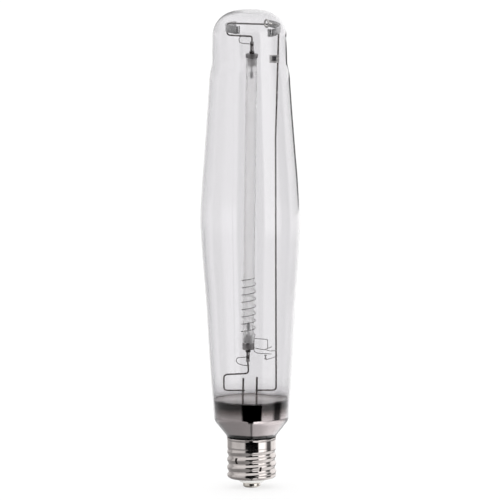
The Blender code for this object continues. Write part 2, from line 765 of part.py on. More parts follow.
def tail_spot():
    """Where the starting aid's straight tail stands beside the arc tube, in x and y."""
    x = on_arc_axis(AID_FOOT_Z - ARC_CENTRE[2])[0] + AID_RADIUS * math.cos(AID_TAIL_ANGLE)
    return x, FRAME_Y + AID_RADIUS * math.sin(AID_TAIL_ANGLE)


def build_starting_aid():
    """Open turns round the lower arc tube, then a tail down and across to the spool."""
    molybdenum = material("aid_wire", (0.34, 0.33, 0.33), 0.35, 1.0)
    tail_x, tail_y = tail_spot()
    turns = helix(AID_RADIUS, AID_PITCH, AID_TURNS, AID_FOOT_Z, AID_TAIL_ANGLE)
    lean = math.tan(ARC_LEAN)
    coil = []
    for x, y, z in turns:
        coil.append((ARC_CENTRE[0] + x + (z - ARC_CENTRE[2]) * lean, FRAME_Y + y, z))
    tail = [
        (16.4, tail_y, SPOOL_Z[1] + 0.6),
        (5.1, tail_y, 108.1),
        (tail_x, tail_y, 109.6),
        (tail_x, tail_y, AID_FOOT_Z - 0.6),
    ]
    wire("starting_aid_wire", rounded(tail, 1.6) + coil[1:], AID_WIRE_RADIUS, molybdenum)


def build_switch():
    """The bimetal hairpin on its bracket, with two contact wires that meet the aid's tail."""
    steel = material("bracket_steel", (0.40, 0.39, 0.38), 0.35, 1.0)
    bimetal = material("bimetal", (0.45, 0.42, 0.38), 0.3, 1.0)
    contact = material("contact_wire", (0.34, 0.33, 0.33), 0.35, 1.0)
    tail_x, tail_y = tail_spot()
    root_x, root_z = BLADE_ROOT
    wire_front = FRAME_Y - FRAME_WIRE_RADIUS - TOUCHING_GAP
    blade_y = wire_front - BLADE_WIDTH / 2
    across = (0, BLADE_WIDTH, 0)
    bracket = [(20.6, blade_y, root_z + 0.5), (18.0, blade_y, root_z + 0.3), (root_x + 0.35, blade_y, root_z)]
    ribbon("switch_bracket", bracket, across, STRIP_THICKNESS, steel)
    hairpin = [
        (root_x, blade_y, root_z),
        (BLADE_TURN[0], blade_y, BLADE_TURN[1]),
        (BLADE_END[0], blade_y, BLADE_END[1]),
    ]
    ribbon("bimetal_blade", rounded(hairpin, 0.6, 6), across, STRIP_THICKNESS * 0.8, bimetal)
    front = wire_front - BLADE_WIDTH - TOUCHING_GAP - AID_WIRE_RADIUS
    tip_x = tail_x + AID_WIRE_RADIUS + TOUCHING_GAP
    lower = [(tip_x, tail_y, 112.2), (9.6, front, 111.1), (11.6, front, 111.1)]
    wire("contact_finger_lower", rounded(lower, 1.0), AID_WIRE_RADIUS, contact)
    upper = [(tip_x, tail_y, 119.9), (13.2, front, 119.2), (13.2, front, 111.6)]
    wire("contact_finger_upper", rounded(upper, 1.0), AID_WIRE_RADIUS, contact)


def build_spool():
    """The ceramic spool that the aid's tail rests on, and the wire that holds it."""
    ceramic = material("spool_ceramic", (0.30, 0.29, 0.28), 0.4, 0.0)
    steel = material("spool_wire", (0.36, 0.35, 0.34), 0.35, 1.0)
    tail_y = tail_spot()[1]
    low, high = SPOOL_Z
    spool = [(0, high), (1.0, high), (1.0, high - 0.7), (0.45, high - 1.0)]
    spool += [(0.45, low + 1.0), (1.0, low + 0.7), (1.0, low), (0, low)]
    item = turned("aid_insulator", spool, ceramic, segments=16)
    item.location = mm(SPOOL_X, tail_y, 0)
    y_end = FRAME_Y - FRAME_WIRE_RADIUS - TOUCHING_GAP - 0.3
    path = [(SPOOL_X, tail_y, low - 0.6), (16.4, tail_y, 104.0), (20.8, y_end, 105.4)]
    wire("insulator_bracket", rounded(path, 1.5), 0.25, steel)


build_jacket()
build_getter_mirror()
build_screw_shell()
build_base_end()
build_stem()
build_leads()
build_frame()
build_springs()
build_getters()
build_arc_tube()
build_straps()
build_starting_aid()
build_switch()
build_spool()
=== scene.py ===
"""Looks of the high-pressure sodium grow lamp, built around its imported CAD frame.

Lengths are in millimetres and are turned into metres by mm() and MM. +Z runs up the lamp's axis
and the wires that hold the arc tube lie in a plane across X.
"""

import math

import bmesh
import bpy
from mathutils import Matrix, Vector


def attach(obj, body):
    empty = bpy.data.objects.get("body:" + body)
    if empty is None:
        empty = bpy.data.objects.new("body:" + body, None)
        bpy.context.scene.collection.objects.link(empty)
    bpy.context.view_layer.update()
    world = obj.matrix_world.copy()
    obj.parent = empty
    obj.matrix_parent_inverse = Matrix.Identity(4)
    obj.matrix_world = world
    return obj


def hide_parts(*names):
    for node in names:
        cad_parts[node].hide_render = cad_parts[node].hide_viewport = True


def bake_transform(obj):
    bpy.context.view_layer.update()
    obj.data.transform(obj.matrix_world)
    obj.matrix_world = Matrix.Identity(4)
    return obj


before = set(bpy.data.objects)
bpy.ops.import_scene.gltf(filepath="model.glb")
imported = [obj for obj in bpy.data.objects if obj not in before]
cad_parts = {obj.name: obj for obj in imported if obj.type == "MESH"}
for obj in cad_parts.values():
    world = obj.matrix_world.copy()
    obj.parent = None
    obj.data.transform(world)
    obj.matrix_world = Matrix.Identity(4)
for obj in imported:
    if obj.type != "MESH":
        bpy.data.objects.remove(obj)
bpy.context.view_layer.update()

MM = 0.001
GAP = 0.3

# Jacket outline, as in the CAD
LAMP_LENGTH = 383.0
GLASS_WALL = 1.0
TUBE_RADIUS = 29.6
DOME_HEIGHT = 21.7
DOME_CORNER_RADIUS = 20.7
DOME_CROWN_RADIUS = 68.0
SIDE_OUTLINE = [
    (343.0, TUBE_RADIUS),
    (336.6, 30.7),
    (330.1, 31.9),
    (322.0, 32.5),
    (298.0, 34.1),
    (266.0, 36.5),
    (240.0, 38.5),
    (214.5, 39.7),
    (189.0, 38.5),
    (150.0, 35.6),
    (105.0, 33.1),
    (57.5, 29.9),
]
SHOULDER_CORNER_RADIUS = 9.0
SHOULDER_SLOPE = 38.0
NECK_RIM_RADIUS = 20.3
NECK_RIM_Z = 42.2
NECK_RADIUS = 17.4
NECK_END_Z = 14.5

# Getter mirror
MIRROR_TOP_Z = 86.0
MIRROR_EDGE_Z = 70.5
MIRROR_FOOT_Z = 39.9
FILM_GAP = 0.06
FILM_THICKNESS = 0.05

# Screw shell
SHELL_SHEET = 0.5
THREAD_CREST_RADIUS = 19.65
THREAD_DEPTH = 1.15
THREAD_PITCH = 6.35
THREAD_TOP_Z = 32.5
THREAD_FOOT_Z = 9.5
THREAD_RISE = 7.0
COLLAR_RADIUS = 19.45
COLLAR_TOP_Z = 40.0
SHELL_FOOT_RADIUS = 16.6
SHELL_FOOT_Z = 7.2
LIP_RADIUS = 13.4
CONTACT_RADIUS = 6.95
CONTACT_HEIGHT = 3.6
LEAD_HOLE_RADIUS = 1.5
STAKE_MARKS = {
    "left": (math.radians(230.7), 20.4, 25.2, 2.0),
    "right": (math.radians(291.5), 14.6, 18.4, 1.8),
}
STAKE_MARK_LIFT = 0.02

# Stem, posts and frame wires
PRESS_TOP_Z = 60.0
POST_RADIUS = 0.8
POST_DEPTH = 7.7
POST_FEET_X = (-7.3, 3.8)
POST_HEADS_X = (-6.2, 4.6)
POST_HEADS_Z = (87.4, 88.1)
POST_Y = 0.95
POST_WELD_Z = 77.8
FRAME_Y = -0.95
FRAME_WIRE_RADIUS = 0.7
SUPPORT_WIRE_RADIUS = 0.65
BEND_RADIUS = 3.0

# Arc tube
ARC_CENTRE = (-0.32, FRAME_Y, 229.15)
ARC_LEAN = math.radians(1.0)
ARC_HALF = 118.6
ARC_RADIUS = 4.4
ARC_WALL = 0.8
UPPER_FLANGE = (4.8, 3.2)
LOWER_FLANGE = (4.5, 5.2)
PLUG_DEPTH = 6.0
NIOBIUM_RADIUS = 1.5
NIOBIUM_WALL = 0.5
NIOBIUM_OUTSIDE = 9.8
NIOBIUM_INSIDE = 7.5
WIRE_IN_TUBE = 4.5
FRIT_RADIUS = 2.1
FRIT_HEIGHT = 1.7
ELECTRODE_RADIUS = 0.5
ELECTRODE_LENGTH = 9.0

# Starting aid and switch
AID_TURNS = 8
AID_PITCH = 5.86
AID_FOOT_Z = 121.6
AID_RADIUS = 5.6
AID_WIRE_RADIUS = 0.27
AID_TAIL_ANGLE = math.radians(-35)
STRIP_THICKNESS = 0.3
BLADE_WIDTH = 3.0
BLADE_ROOT = (15.5, 109.6)
BLADE_TURN = (10.9, 110.9)
BLADE_END = (16.4, 113.2)
SPOOL_X = 11.5
SPOOL_Z = (103.3, 106.7)

# Springs and getters
SPRING_HEIGHT = 6.0
SPRING_THICKNESS = 0.3
SPRING_PLANS = {
    "left": ((-18.95, 0.0), (-10.5, 21.8), (-11.3, -21.2)),
    "right": ((24.5, 0.0), (15.4, 18.7), (17.9, -17.0)),
}
SPRING_ROLL_RADIUS = 2.0
SPRING_ROLL_TURN = math.radians(200)
SPRING_Z = {"left": 369.0, "right": 368.2}
SPRING_SLANT = {"left": -0.3, "right": 1.8}
RING_GETTER_CENTRE = (13.6, -5.0, 372.5)
RING_GETTER_RADIUS = 2.9
RING_GETTER_SECTION = 0.75
RING_GETTER_TURN = math.radians(-58)
FLAT_GETTER_CENTRE = (19.4, -3.2, 344.2)
FLAT_GETTER_SIZE = (3.3, 1.2, 3.6)
FLAT_GETTER_TAB_X = (15.7, 23.3)
FLAT_GETTER_TAB_HEIGHT = 6.2

# Camera
CAMERA_ELEVATION = math.radians(8.0)
CAMERA_LENS = 1500.0
CAMERA_SENSOR = 36.0
FRAME_HEIGHT = 397.5
CAMERA_AIM = (-0.45, 0.0, 190.3)
CAMERA_ROLL = math.radians(-0.28)


def mm(x, y, z):
    """A point given in millimetres, in metres."""
    return Vector((x, y, z)) * MM


# Outlines and paths


def arc(centre, radius, start, end, steps):
    """Points (r, z) on an arc, angles in degrees from the +r direction, with both ends."""
    points = []
    for step in range(steps + 1):
        angle = math.radians(start + (end - start) * step / steps)
        points.append((centre[0] + radius * math.cos(angle), centre[1] + radius * math.sin(angle)))
    return points


def smooth_outline(stations, step):
    """A curve through (z, r) stations, as (r, z) points about a step apart in height."""
    slopes = []
    for index in range(len(stations)):
        low = stations[max(index - 1, 0)]
        high = stations[min(index + 1, len(stations) - 1)]
        slopes.append((high[1] - low[1]) / (high[0] - low[0]))
    slopes[0] = 0.0
    points = []
    for (z0, r0), (z1, r1), m0, m1 in zip(stations, stations[1:], slopes, slopes[1:]):
        pieces = max(1, round(abs(z1 - z0) / step))
        for piece in range(pieces):
            t = piece / pieces
            h = z1 - z0
            r = (
                (2 * t**3 - 3 * t**2 + 1) * r0
                + (t**3 - 2 * t**2 + t) * h * m0
                + (3 * t**2 - 2 * t**3) * r1
                + (t**3 - t**2) * h * m1
            )
            points.append((r, z0 + h * t))
    points.append((stations[-1][1], stations[-1][0]))
    return points


def dome_outline(steps):
    """The dome: a wide crown arc that runs into a tighter corner arc, down to the cylinder."""
    corner_r = TUBE_RADIUS - DOME_CORNER_RADIUS
    corner_z = LAMP_LENGTH - DOME_HEIGHT
    crown_z = LAMP_LENGTH - DOME_CROWN_RADIUS
    meet = math.degrees(math.atan2(corner_z - crown_z, corner_r))
    crown = arc((0, crown_z), DOME_CROWN_RADIUS, 90, meet, steps // 2)
    crown[0] = (0.0, LAMP_LENGTH)
    corner = arc((corner_r, corner_z), DOME_CORNER_RADIUS, meet, 0, steps)
    return crown + corner[1:]


def bent(points, radius, steps=6):
    """A path or outline through points in 2D or 3D, with its corners rounded to a radius."""
    corners = [Vector(point) for point in points]
    path = [corners[0]]
    for before, corner, after in zip(corners, corners[1:], corners[2:]):
        towards, onwards = (before - corner).normalized(), (after - corner).normalized()
        half = towards.angle(onwards) / 2
        reach = min(
            radius / math.tan(half),
            (before - corner).length * 0.49,
            (after - corner).length * 0.49,
        )
        if reach < 0.02:
            path.append(corner)
            continue
        start, end = corner + towards * reach, corner + onwards * reach
        for step in range(steps + 1):
            t = step / steps
            path.append(start * (1 - t) ** 2 + corner * 2 * t * (1 - t) + end * t**2)
    path.append(corners[-1])
    return path


def shoulder_outline(steps):
    """From the foot of the side: a corner, a straight cone, and the rim turning into the neck."""
    foot_z, foot_r = SIDE_OUTLINE[-1]
    radius = SHOULDER_CORNER_RADIUS
    corner = arc((foot_r - radius, foot_z), radius, 0, -SHOULDER_SLOPE, steps)
    cone = [
        corner[-1],
        (NECK_RIM_RADIUS, NECK_RIM_Z),
        (NECK_RIM_RADIUS - 0.5, NECK_RIM_Z - 1.3),
        (NECK_RADIUS, NECK_RIM_Z - 2.6),
        (NECK_RADIUS, NECK_END_Z),
    ]
    return corner[1:] + bent(cone, 0.9, 4)[1:]


def jacket_outline():
    """The jacket's outer outline, from the top of the dome down to the end of the neck."""
    return dome_outline(26) + smooth_outline(SIDE_OUTLINE, 3.0)[1:] + shoulder_outline(10)


def inset(outline, depth):
    """An outline moved inwards by a depth, square to itself."""
    moved = []
    last = len(outline) - 1
    for index, (r, z) in enumerate(outline):
        ahead = outline[min(index + 1, last)]
        behind = outline[max(index - 1, 0)]
        along = Vector((ahead[0] - behind[0], ahead[1] - behind[1])).normalized()
        inner_r = 0.0 if r == 0.0 else max(0.0, r + along.y * depth)
        inner_z = z - depth if r == 0.0 else z - along.x * depth
        moved.append((inner_r, inner_z))
    return moved


def helix(radius, pitch, turns, foot_z, start_angle, points_per_turn=48):
    """Points up a right-handed helix about the Z axis."""
    points = []
    for step in range(int(turns * points_per_turn) + 1):
        angle = start_angle + 2 * math.pi * step / points_per_turn
        rise = foot_z + pitch * step / points_per_turn
        points.append((radius * math.cos(angle), radius * math.sin(angle), rise))
    return points


def on_arc_axis(z):
    """The point at a height z in the arc tube's own frame, in the lamp's millimetres."""
    x, y, middle = ARC_CENTRE
    return (x + z * math.sin(ARC_LEAN), y, middle + z * math.cos(ARC_LEAN))


ARC_FRAME = Matrix.Translation(mm(*ARC_CENTRE)) @ Matrix.Rotation(ARC_LEAN, 4, "Y")


# Making pieces


def finish_piece(item, body, finish, replaced=()):
    """Give a piece its material, hide the CAD parts that it stands for, and tell the frame what it
    rides on.

    Its slot is its material's name, without the number that Blender may add.
    """
    item.data.materials.clear()
    item.data.materials.append(finish)
    if replaced:
        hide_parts(*replaced)
    if body:
        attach(item, body)
    return item


def new_object(name, data):
    """An object in the scene."""
    item = bpy.data.objects.new(name, data)
    bpy.context.scene.collection.objects.link(item)
    return item


def smooth(item, angle=40):
    """Shade a mesh object smooth, but keep its sharp edges."""
    item.data.shade_smooth()
    item.data.set_sharp_from_angle(angle=math.radians(angle))


def lathe(name, outline, closed=False, segments=96, place=None, shape=None):
    """A body of revolution from an (r, z) outline that runs down its outer side.

    shape(angle, r, index) may return another radius for a point of the outline, for a thread.
    """
    mesh = bpy.data.meshes.new(name)
    work = bmesh.new()
    rings = []
    for index, (r, z) in enumerate(outline):
        if r < 1e-6:
            rings.append([work.verts.new(mm(0, 0, z))])
            continue
        ring = []
        for segment in range(segments):
            angle = 2 * math.pi * segment / segments
            radius = shape(angle, r, index) if shape else r
            ring.append(work.verts.new(mm(radius * math.cos(angle), radius * math.sin(angle), z)))
        rings.append(ring)
    pairs = list(zip(rings, rings[1:]))
    if closed:
        pairs.append((rings[-1], rings[0]))
    for above, below in pairs:
        for segment in range(segments):
            after = (segment + 1) % segments
            corners = [above[segment % len(above)], below[segment % len(below)]]
            corners += [below[after % len(below)], above[after % len(above)]]
            face = []
            for corner in corners:
                if corner not in face:
                    face.append(corner)
            if len(face) > 2:
                work.faces.new(face)
    if place is not None:
        bmesh.ops.transform(work, matrix=place, verts=work.verts)
    work.to_mesh(mesh)
    work.free()
    item = new_object(name, mesh)
    smooth(item)
    return item


def tube(name, paths, radius, place=None, sides=5):
    """Round wires along paths in millimetres, with closed ends, as one mesh."""
    curve = bpy.data.curves.new(name, "CURVE")
    curve.dimensions = "3D"
    curve.bevel_depth = radius * MM
    curve.bevel_resolution = sides
    curve.use_fill_caps = True
    for points in paths:
        spline = curve.splines.new("POLY")
        spline.points.add(len(points) - 1)
        for knot, point in zip(spline.points, points):
            knot.co = (*mm(*point), 1)
    source = new_object(name + ".path", curve)
    graph = bpy.context.evaluated_depsgraph_get()
    mesh = bpy.data.meshes.new_from_object(source.evaluated_get(graph))
    bpy.data.objects.remove(source)
    mesh.name = name
    work = bmesh.new()
    work.from_mesh(mesh)
    bmesh.ops.remove_doubles(work, verts=work.verts, dist=0.000002)
    if place is not None:
        bmesh.ops.transform(work, matrix=place, verts=work.verts)
    work.to_mesh(mesh)
    work.free()
    item = new_object(name, mesh)
    smooth(item, 50)
    return item


def apply_modifiers(item):
    """Make an object's modifiers part of its mesh."""
    graph = bpy.context.evaluated_depsgraph_get()
    mesh = bpy.data.meshes.new_from_object(item.evaluated_get(graph))
    item.modifiers.clear()
    item.data = mesh
    return item


def strip(name, path, width_vector, thickness, edge=0.06):
    """A flat metal strip along a path, widened along a vector, with softened edges."""
    mesh = bpy.data.meshes.new(name)
    work = bmesh.new()
    wide = Vector(width_vector)
    low = [work.verts.new(mm(*(Vector(p) - wide / 2))) for p in path]
    high = [work.verts.new(mm(*(Vector(p) + wide / 2))) for p in path]
    for index in range(len(path) - 1):
        work.faces.new((low[index], low[index + 1], high[index + 1], high[index]))
    work.to_mesh(mesh)
    work.free()
    item = new_object(name, mesh)
    sheet = item.modifiers.new("Sheet", "SOLIDIFY")
    sheet.thickness = thickness * MM
    sheet.offset = 0
    sheet.use_even_offset = True
    bevel = item.modifiers.new("Edges", "BEVEL")
    bevel.width = edge * MM
    bevel.segments = 2
    bevel.limit_method = "ANGLE"
    bevel.angle_limit = math.radians(50)
    apply_modifiers(item)
    smooth(item, 60)
    return item


def blobs(name, spots):
    """Weld nuggets: flattened round blobs at (x, y, z, radius, flatness) as one mesh."""
    mesh = bpy.data.meshes.new(name)
    work = bmesh.new()
    for x, y, z, radius, flat in spots:
        where = Matrix.Translation(mm(x, y, z)) @ Matrix.Diagonal((1, flat, 1, 1))
        bmesh.ops.create_uvsphere(
            work, u_segments=20, v_segments=12, radius=radius * MM, matrix=where
        )
    work.to_mesh(mesh)
    work.free()
    item = new_object(name, mesh)
    smooth(item, 80)
    return item


# Materials


class Graph:
    """The nodes of a material or a world under construction."""

    def __init__(self, owner):
        owner.use_nodes = True
        self.nodes = owner.node_tree.nodes
        self.links = owner.node_tree.links

    def node(self, kind, **values):
        """A new node with some of its properties set."""
        made = self.nodes.new("ShaderNode" + kind)
        for key, value in values.items():
            setattr(made, key, value)
        return made

    def wire(self, source, target):
        """Join an output to an input."""
        self.links.new(source, target)


class Finish(Graph):
    """A material under construction, with one Principled shader."""

    def __init__(self, name, colour, roughness, metallic=0.0):
        self.material = bpy.data.materials.new(name)
        super().__init__(self.material)
        self.shader = self.nodes["Principled BSDF"]
        self.output = self.nodes["Material Output"]
        self.set("Base Color", (*colour, 1))
        self.set("Roughness", roughness)
        self.set("Metallic", metallic)

    def set(self, socket, value):
        """Set one input of the shader."""
        self.shader.inputs[socket].default_value = value

    def position(self, scale=(1, 1, 1)):
        """Where a point lies on the piece, in metres, stretched along the axes."""
        where = self.node("TexCoord")
        mapping = self.node("Mapping")
        mapping.inputs["Scale"].default_value = scale
        self.wire(where.outputs["Object"], mapping.inputs["Vector"])
        return mapping.outputs["Vector"]

    def noise(self, scale, detail=4.0, stretch=(1, 1, 1)):
        """A noise pattern with so many cells to the metre."""
        pattern = self.node("TexNoise")
        pattern.inputs["Scale"].default_value = scale
        pattern.inputs["Detail"].default_value = detail
        self.wire(self.position(stretch), pattern.inputs["Vector"])
        return pattern.outputs["Fac"]

    def ramp(self, source, stops):
        """Colours or greys along a value: stops of (position, colour)."""
        ramp = self.node("ValToRGB")
        points = ramp.color_ramp.elements
        points[0].position, points[1].position = stops[0][0], stops[-1][0]
        for place, _ in stops[1:-1]:
            points.new(place)
        for point, (_, colour) in zip(points, stops):
            point.color = (*colour, 1) if len(colour) == 3 else (colour[0],) * 3 + (1,)
        self.wire(source, ramp.inputs["Fac"])
        return ramp.outputs["Color"]

    def span(self, source, low, high, out_low=0.0, out_high=1.0):
        """A value taken from one range to another."""
        change = self.node("MapRange")
        for name, value in (
            ("From Min", low),
            ("From Max", high),
            ("To Min", out_low),
            ("To Max", out_high),
        ):
            change.inputs[name].default_value = value
        self.wire(source, change.inputs["Value"])
        return change.outputs["Result"]

    def height(self):
        """A point's height on the piece, in metres."""
        parts = self.node("SeparateXYZ")
        self.wire(self.position(), parts.inputs["Vector"])
        return parts.outputs["Z"]

    def mottle(self, scale, dark, light, stretch=(1, 1, 1)):
        """Let the colour wander between two tones."""
        field = self.noise(scale, stretch=stretch)
        self.wire(self.ramp(field, [(0.3, dark), (0.7, light)]), self.shader.inputs["Base Color"])

    def rough(self, scale, low, high):
        """Let the roughness wander between two values."""
        field = self.noise(scale, 3.0)
        self.wire(self.span(field, 0.3, 0.7, low, high), self.shader.inputs["Roughness"])

    def bump(self, source, strength, distance=0.0001):
        """Raise the surface a little by a value."""
        bump = self.node("Bump")
        bump.inputs["Strength"].default_value = strength
        bump.inputs["Distance"].default_value = distance
        self.wire(source, bump.inputs["Height"])
        self.wire(bump.outputs["Normal"], self.shader.inputs["Normal"])


def jacket_glass():
    """Clear hard glass with a faint grey-violet cast and the slow ripple of blown glass."""
    glass = Finish("jacket_glass", (0.875, 0.868, 0.880), 0.0)
    glass.set("Transmission Weight", 1.0)
    glass.set("IOR", 1.48)
    ripple = glass.noise(60.0, 1.0, (1, 1, 0.12))
    glass.bump(ripple, 0.12, 0.0002)
    return glass.material


def stem_glass():
    """The thicker, slightly green glass of the stem."""
    glass = Finish("stem_glass", (0.86, 0.90, 0.89), 0.02)
    glass.set("Transmission Weight", 1.0)
    glass.set("IOR", 1.5)
    glass.bump(glass.noise(300.0, 2.0), 0.2, 0.0002)
    return glass.material


def mirror_film(name, tones, metallic=1.0, roughness=0.0):
    """The getter's metal film: a smoky edge that thins out upwards over a soft haze.

    tones gives the film's colour from its upper edge down.
    """
    film = Finish(name, tones[-1][1], roughness, metallic)
    wander = film.span(film.noise(40.0, 2.0, (1, 1, 0.5)), 0.3, 0.7, -0.0007, 0.0007)
    add = film.node("Math", operation="ADD")
    film.wire(film.height(), add.inputs[0])
    film.wire(wander, add.inputs[1])
    height = add.outputs["Value"]
    depth = film.span(height, MIRROR_EDGE_Z * MM, MIRROR_FOOT_Z * MM)
    film.wire(film.ramp(depth, tones), film.shader.inputs["Base Color"])
    film.bump(film.noise(55.0, 1.0, (1, 1, 0.7)), 0.5, 0.0004)
    haze = film.ramp(
        film.span(height, MIRROR_TOP_Z * MM, (MIRROR_EDGE_Z - 1.0) * MM),
        FILM_HAZE,
    )
    clear = film.node("BsdfTransparent")
    mix = film.node("MixShader")
    film.wire(haze, mix.inputs["Fac"])
    film.wire(clear.outputs["BSDF"], mix.inputs[1])
    film.wire(film.shader.outputs["BSDF"], mix.inputs[2])
    film.wire(mix.outputs["Shader"], film.output.inputs["Surface"])
    return film.material


def nickel_plate():
    """Bright nickel plate with fine drawing marks and a few duller patches."""
    nickel = Finish("nickel_plate", (0.68, 0.63, 0.61), 0.10, 1.0)
    nickel.mottle(180.0, (0.62, 0.57, 0.55), (0.72, 0.67, 0.65))
    nickel.rough(140.0, 0.06, 0.14)
    nickel.bump(nickel.noise(900.0, 2.0, (1, 1, 6)), 0.05, 0.00005)
    return nickel.material


def plated_brass():
    """The eyelet's plating, warmer and more rubbed than the shell's."""
    plated = Finish("plated_brass", (0.74, 0.70, 0.66), 0.16, 1.0)
    plated.mottle(400.0, (0.62, 0.57, 0.51), (0.78, 0.75, 0.71))
    plated.rough(500.0, 0.12, 0.28)
    return plated.material


def solder():
    """Dull solder."""
    lump = Finish("solder", (0.30, 0.29, 0.28), 0.4, 1.0)
    lump.mottle(900.0, (0.20, 0.19, 0.18), (0.42, 0.41, 0.40))
    lump.bump(lump.noise(1500.0), 0.4, 0.0001)
    return lump.material


def white_ceramic():
    """White vitrified ceramic with a soft glaze."""
    ceramic = Finish("white_ceramic", (0.88, 0.87, 0.85), 0.3)
    ceramic.mottle(250.0, (0.84, 0.83, 0.80), (0.91, 0.90, 0.88))
    ceramic.set("Coat Weight", 0.4)
    ceramic.set("Coat Roughness", 0.12)
    ceramic.bump(ceramic.noise(800.0), 0.1, 0.0001)
    return ceramic.material


def metal(name, dark, light, low, high, scale=500.0, metallic=1.0):
    """A plain metal whose tone and polish wander, with a fine grain."""
    finish = Finish(name, light, high, metallic)
    finish.mottle(scale, dark, light)
    finish.rough(scale * 0.7, low, high)
    finish.bump(finish.noise(scale * 4, 2.0), 0.08, 0.00005)
    return finish.material


def alumina():
    """Translucent sintered alumina: light passes, shapes behind it blur."""
    ceramic = Finish("alumina", (0.985, 0.985, 0.98), 0.5)
    ceramic.mottle(220.0, (0.97, 0.968, 0.965), (1.0, 1.0, 0.995), (1, 1, 0.3))
    ceramic.set("Transmission Weight", 0.87)
    ceramic.set("IOR", 1.15)
    ceramic.bump(ceramic.noise(1400.0), 0.12, 0.0001)
    return ceramic.material


def end_ceramic():
    """Alumina closure, its colour painted dark grey: painted shade for the light that the thicker
    ceramic and the metal and frit inside it hold back.
    """
    ceramic = Finish("end_ceramic", (0.30, 0.29, 0.29), 0.42)
    ceramic.mottle(500.0, (0.26, 0.25, 0.25), (0.36, 0.35, 0.35))
    ceramic.set("Transmission Weight", 0.72)
    ceramic.set("IOR", 1.1)
    ceramic.bump(ceramic.noise(1500.0), 0.15, 0.0001)
    return ceramic.material


def dark_frit():
    """Glassy black sealing frit."""
    frit = Finish("frit", (0.02, 0.017, 0.015), 0.3)
    frit.mottle(900.0, (0.012, 0.01, 0.01), (0.04, 0.033, 0.03))
    frit.bump(frit.noise(1500.0), 0.3, 0.0001)
    return frit.material


def getter_powder():
    """Dark pressed powder in a small cup."""
    powder = Finish("getter_powder", (0.05, 0.05, 0.055), 0.75, 0.2)
    powder.mottle(2500.0, (0.03, 0.03, 0.035), (0.09, 0.09, 0.10))
    powder.bump(powder.noise(4000.0), 0.6, 0.0001)
    return powder.material


def spool_ceramic():
    """A small grey steatite spool."""
    ceramic = Finish("spool_ceramic", (0.20, 0.19, 0.19), 0.4)
    ceramic.mottle(1500.0, (0.14, 0.13, 0.13), (0.26, 0.25, 0.25))
    return ceramic.material


# How much of the film covers the glass, from its top down
FILM_HAZE = [
    (0.0, (0.0,)), (0.4, (0.03,)), (0.7, (0.10,)), (0.88, (0.25,)), (0.94, (0.6,)),
    (1.0, (1.0,)),
]

JACKET = jacket_glass()
STEM = stem_glass()
FILM_OUTSIDE = mirror_film(
    "getter_film_outside",
    [
        (0.0, (0.010, 0.006, 0.005)),
        (0.15, (0.012, 0.007, 0.006)),
        (0.25, (0.30, 0.25, 0.235)),
        (0.36, (0.74, 0.67, 0.65)),
        (0.46, (0.93, 0.85, 0.83)),
        (0.86, (0.93, 0.85, 0.83)),
        # Painted shade at the foot: the film's own edge there, darkened to near black as painted
        # shade for the gap between the glass neck and the shell's rim
        (0.89, (0.02, 0.013, 0.012)),
        (1.0, (0.01, 0.008, 0.007)),
    ],
)
FILM_INSIDE = mirror_film(
    "getter_film_inside",
    [
        (0.0, (0.30, 0.27, 0.26)),
        (0.04, (0.62, 0.59, 0.58)),
        (0.10, (0.97, 0.95, 0.94)),
        (0.60, (0.97, 0.95, 0.94)),
        # Painted shade: darker towards the foot, down in the neck
        (0.85, (0.10, 0.09, 0.09)),
        (1.0, (0.02, 0.02, 0.02)),
    ],
    metallic=0.0,
    roughness=0.45,
)
NICKEL = nickel_plate()
# Painted shade: a near-black metal for the strips that stand in for the shade inside the punched
# stake dents
STAKE_MARK_SHADE = metal("stake_mark_painted_shade", (0.02, 0.018, 0.017), (0.07, 0.062, 0.058), 0.35, 0.6, 900.0)
EYELET = plated_brass()
SOLDER = solder()
CERAMIC = white_ceramic()
COPPER = metal("copper_lead", (0.45, 0.28, 0.20), (0.66, 0.44, 0.33), 0.25, 0.45)
WIRE = metal("support_wire", (0.18, 0.165, 0.16), (0.32, 0.295, 0.285), 0.18, 0.30, 300.0)
SPRING = metal("spring_steel", (0.40, 0.40, 0.40), (0.54, 0.54, 0.54), 0.2, 0.34, 200.0)
GETTER_STEEL = metal("getter_steel", (0.62, 0.60, 0.57), (0.86, 0.85, 0.82), 0.15, 0.30, 400.0)
TAB_STEEL = metal("getter_tab", (0.42, 0.41, 0.40), (0.58, 0.57, 0.56), 0.35, 0.5, 400.0, 0.4)
POWDER = getter_powder()
ALUMINA = alumina()
END_CERAMIC = end_ceramic()
FRIT = dark_frit()
NIOBIUM = metal("niobium", (0.34, 0.33, 0.33), (0.48, 0.47, 0.46), 0.12, 0.22, 600.0)
TUNGSTEN = metal("tungsten", (0.06, 0.06, 0.065), (0.14, 0.14, 0.15), 0.3, 0.5, 700.0)
FINE_WIRE = metal("fine_wire", (0.16, 0.155, 0.15), (0.30, 0.29, 0.28), 0.2, 0.4, 400.0)
BIMETAL = metal("bimetal", (0.20, 0.19, 0.17), (0.42, 0.40, 0.36), 0.2, 0.35, 300.0)
SPOOL = spool_ceramic()


# The glass and the film inside it


def build_jacket():
    """The jacket as a closed wall of glass: outside down, inside up."""
    outside = jacket_outline()
    inside = inset(outside, GLASS_WALL)
    outline = outside + inside[::-1]
    item = lathe("jacket_glass_wall", outline, segments=144)
    finish_piece(item, "lamp", JACKET, ["outer_jacket"])


def clipped(outline, top_z, foot_z):
    """The stretch of a descending outline between two heights, cut exactly at both."""
    kept = []
    for (r0, z0), (r1, z1) in zip(outline, outline[1:]):
        for cut in (top_z, foot_z):
            if z1 < cut < z0:
                kept.append((r0 + (r1 - r0) * (z0 - cut) / (z0 - z1), cut))
        if foot_z < z1 < top_z:
            kept.append((r1, z1))
    return kept


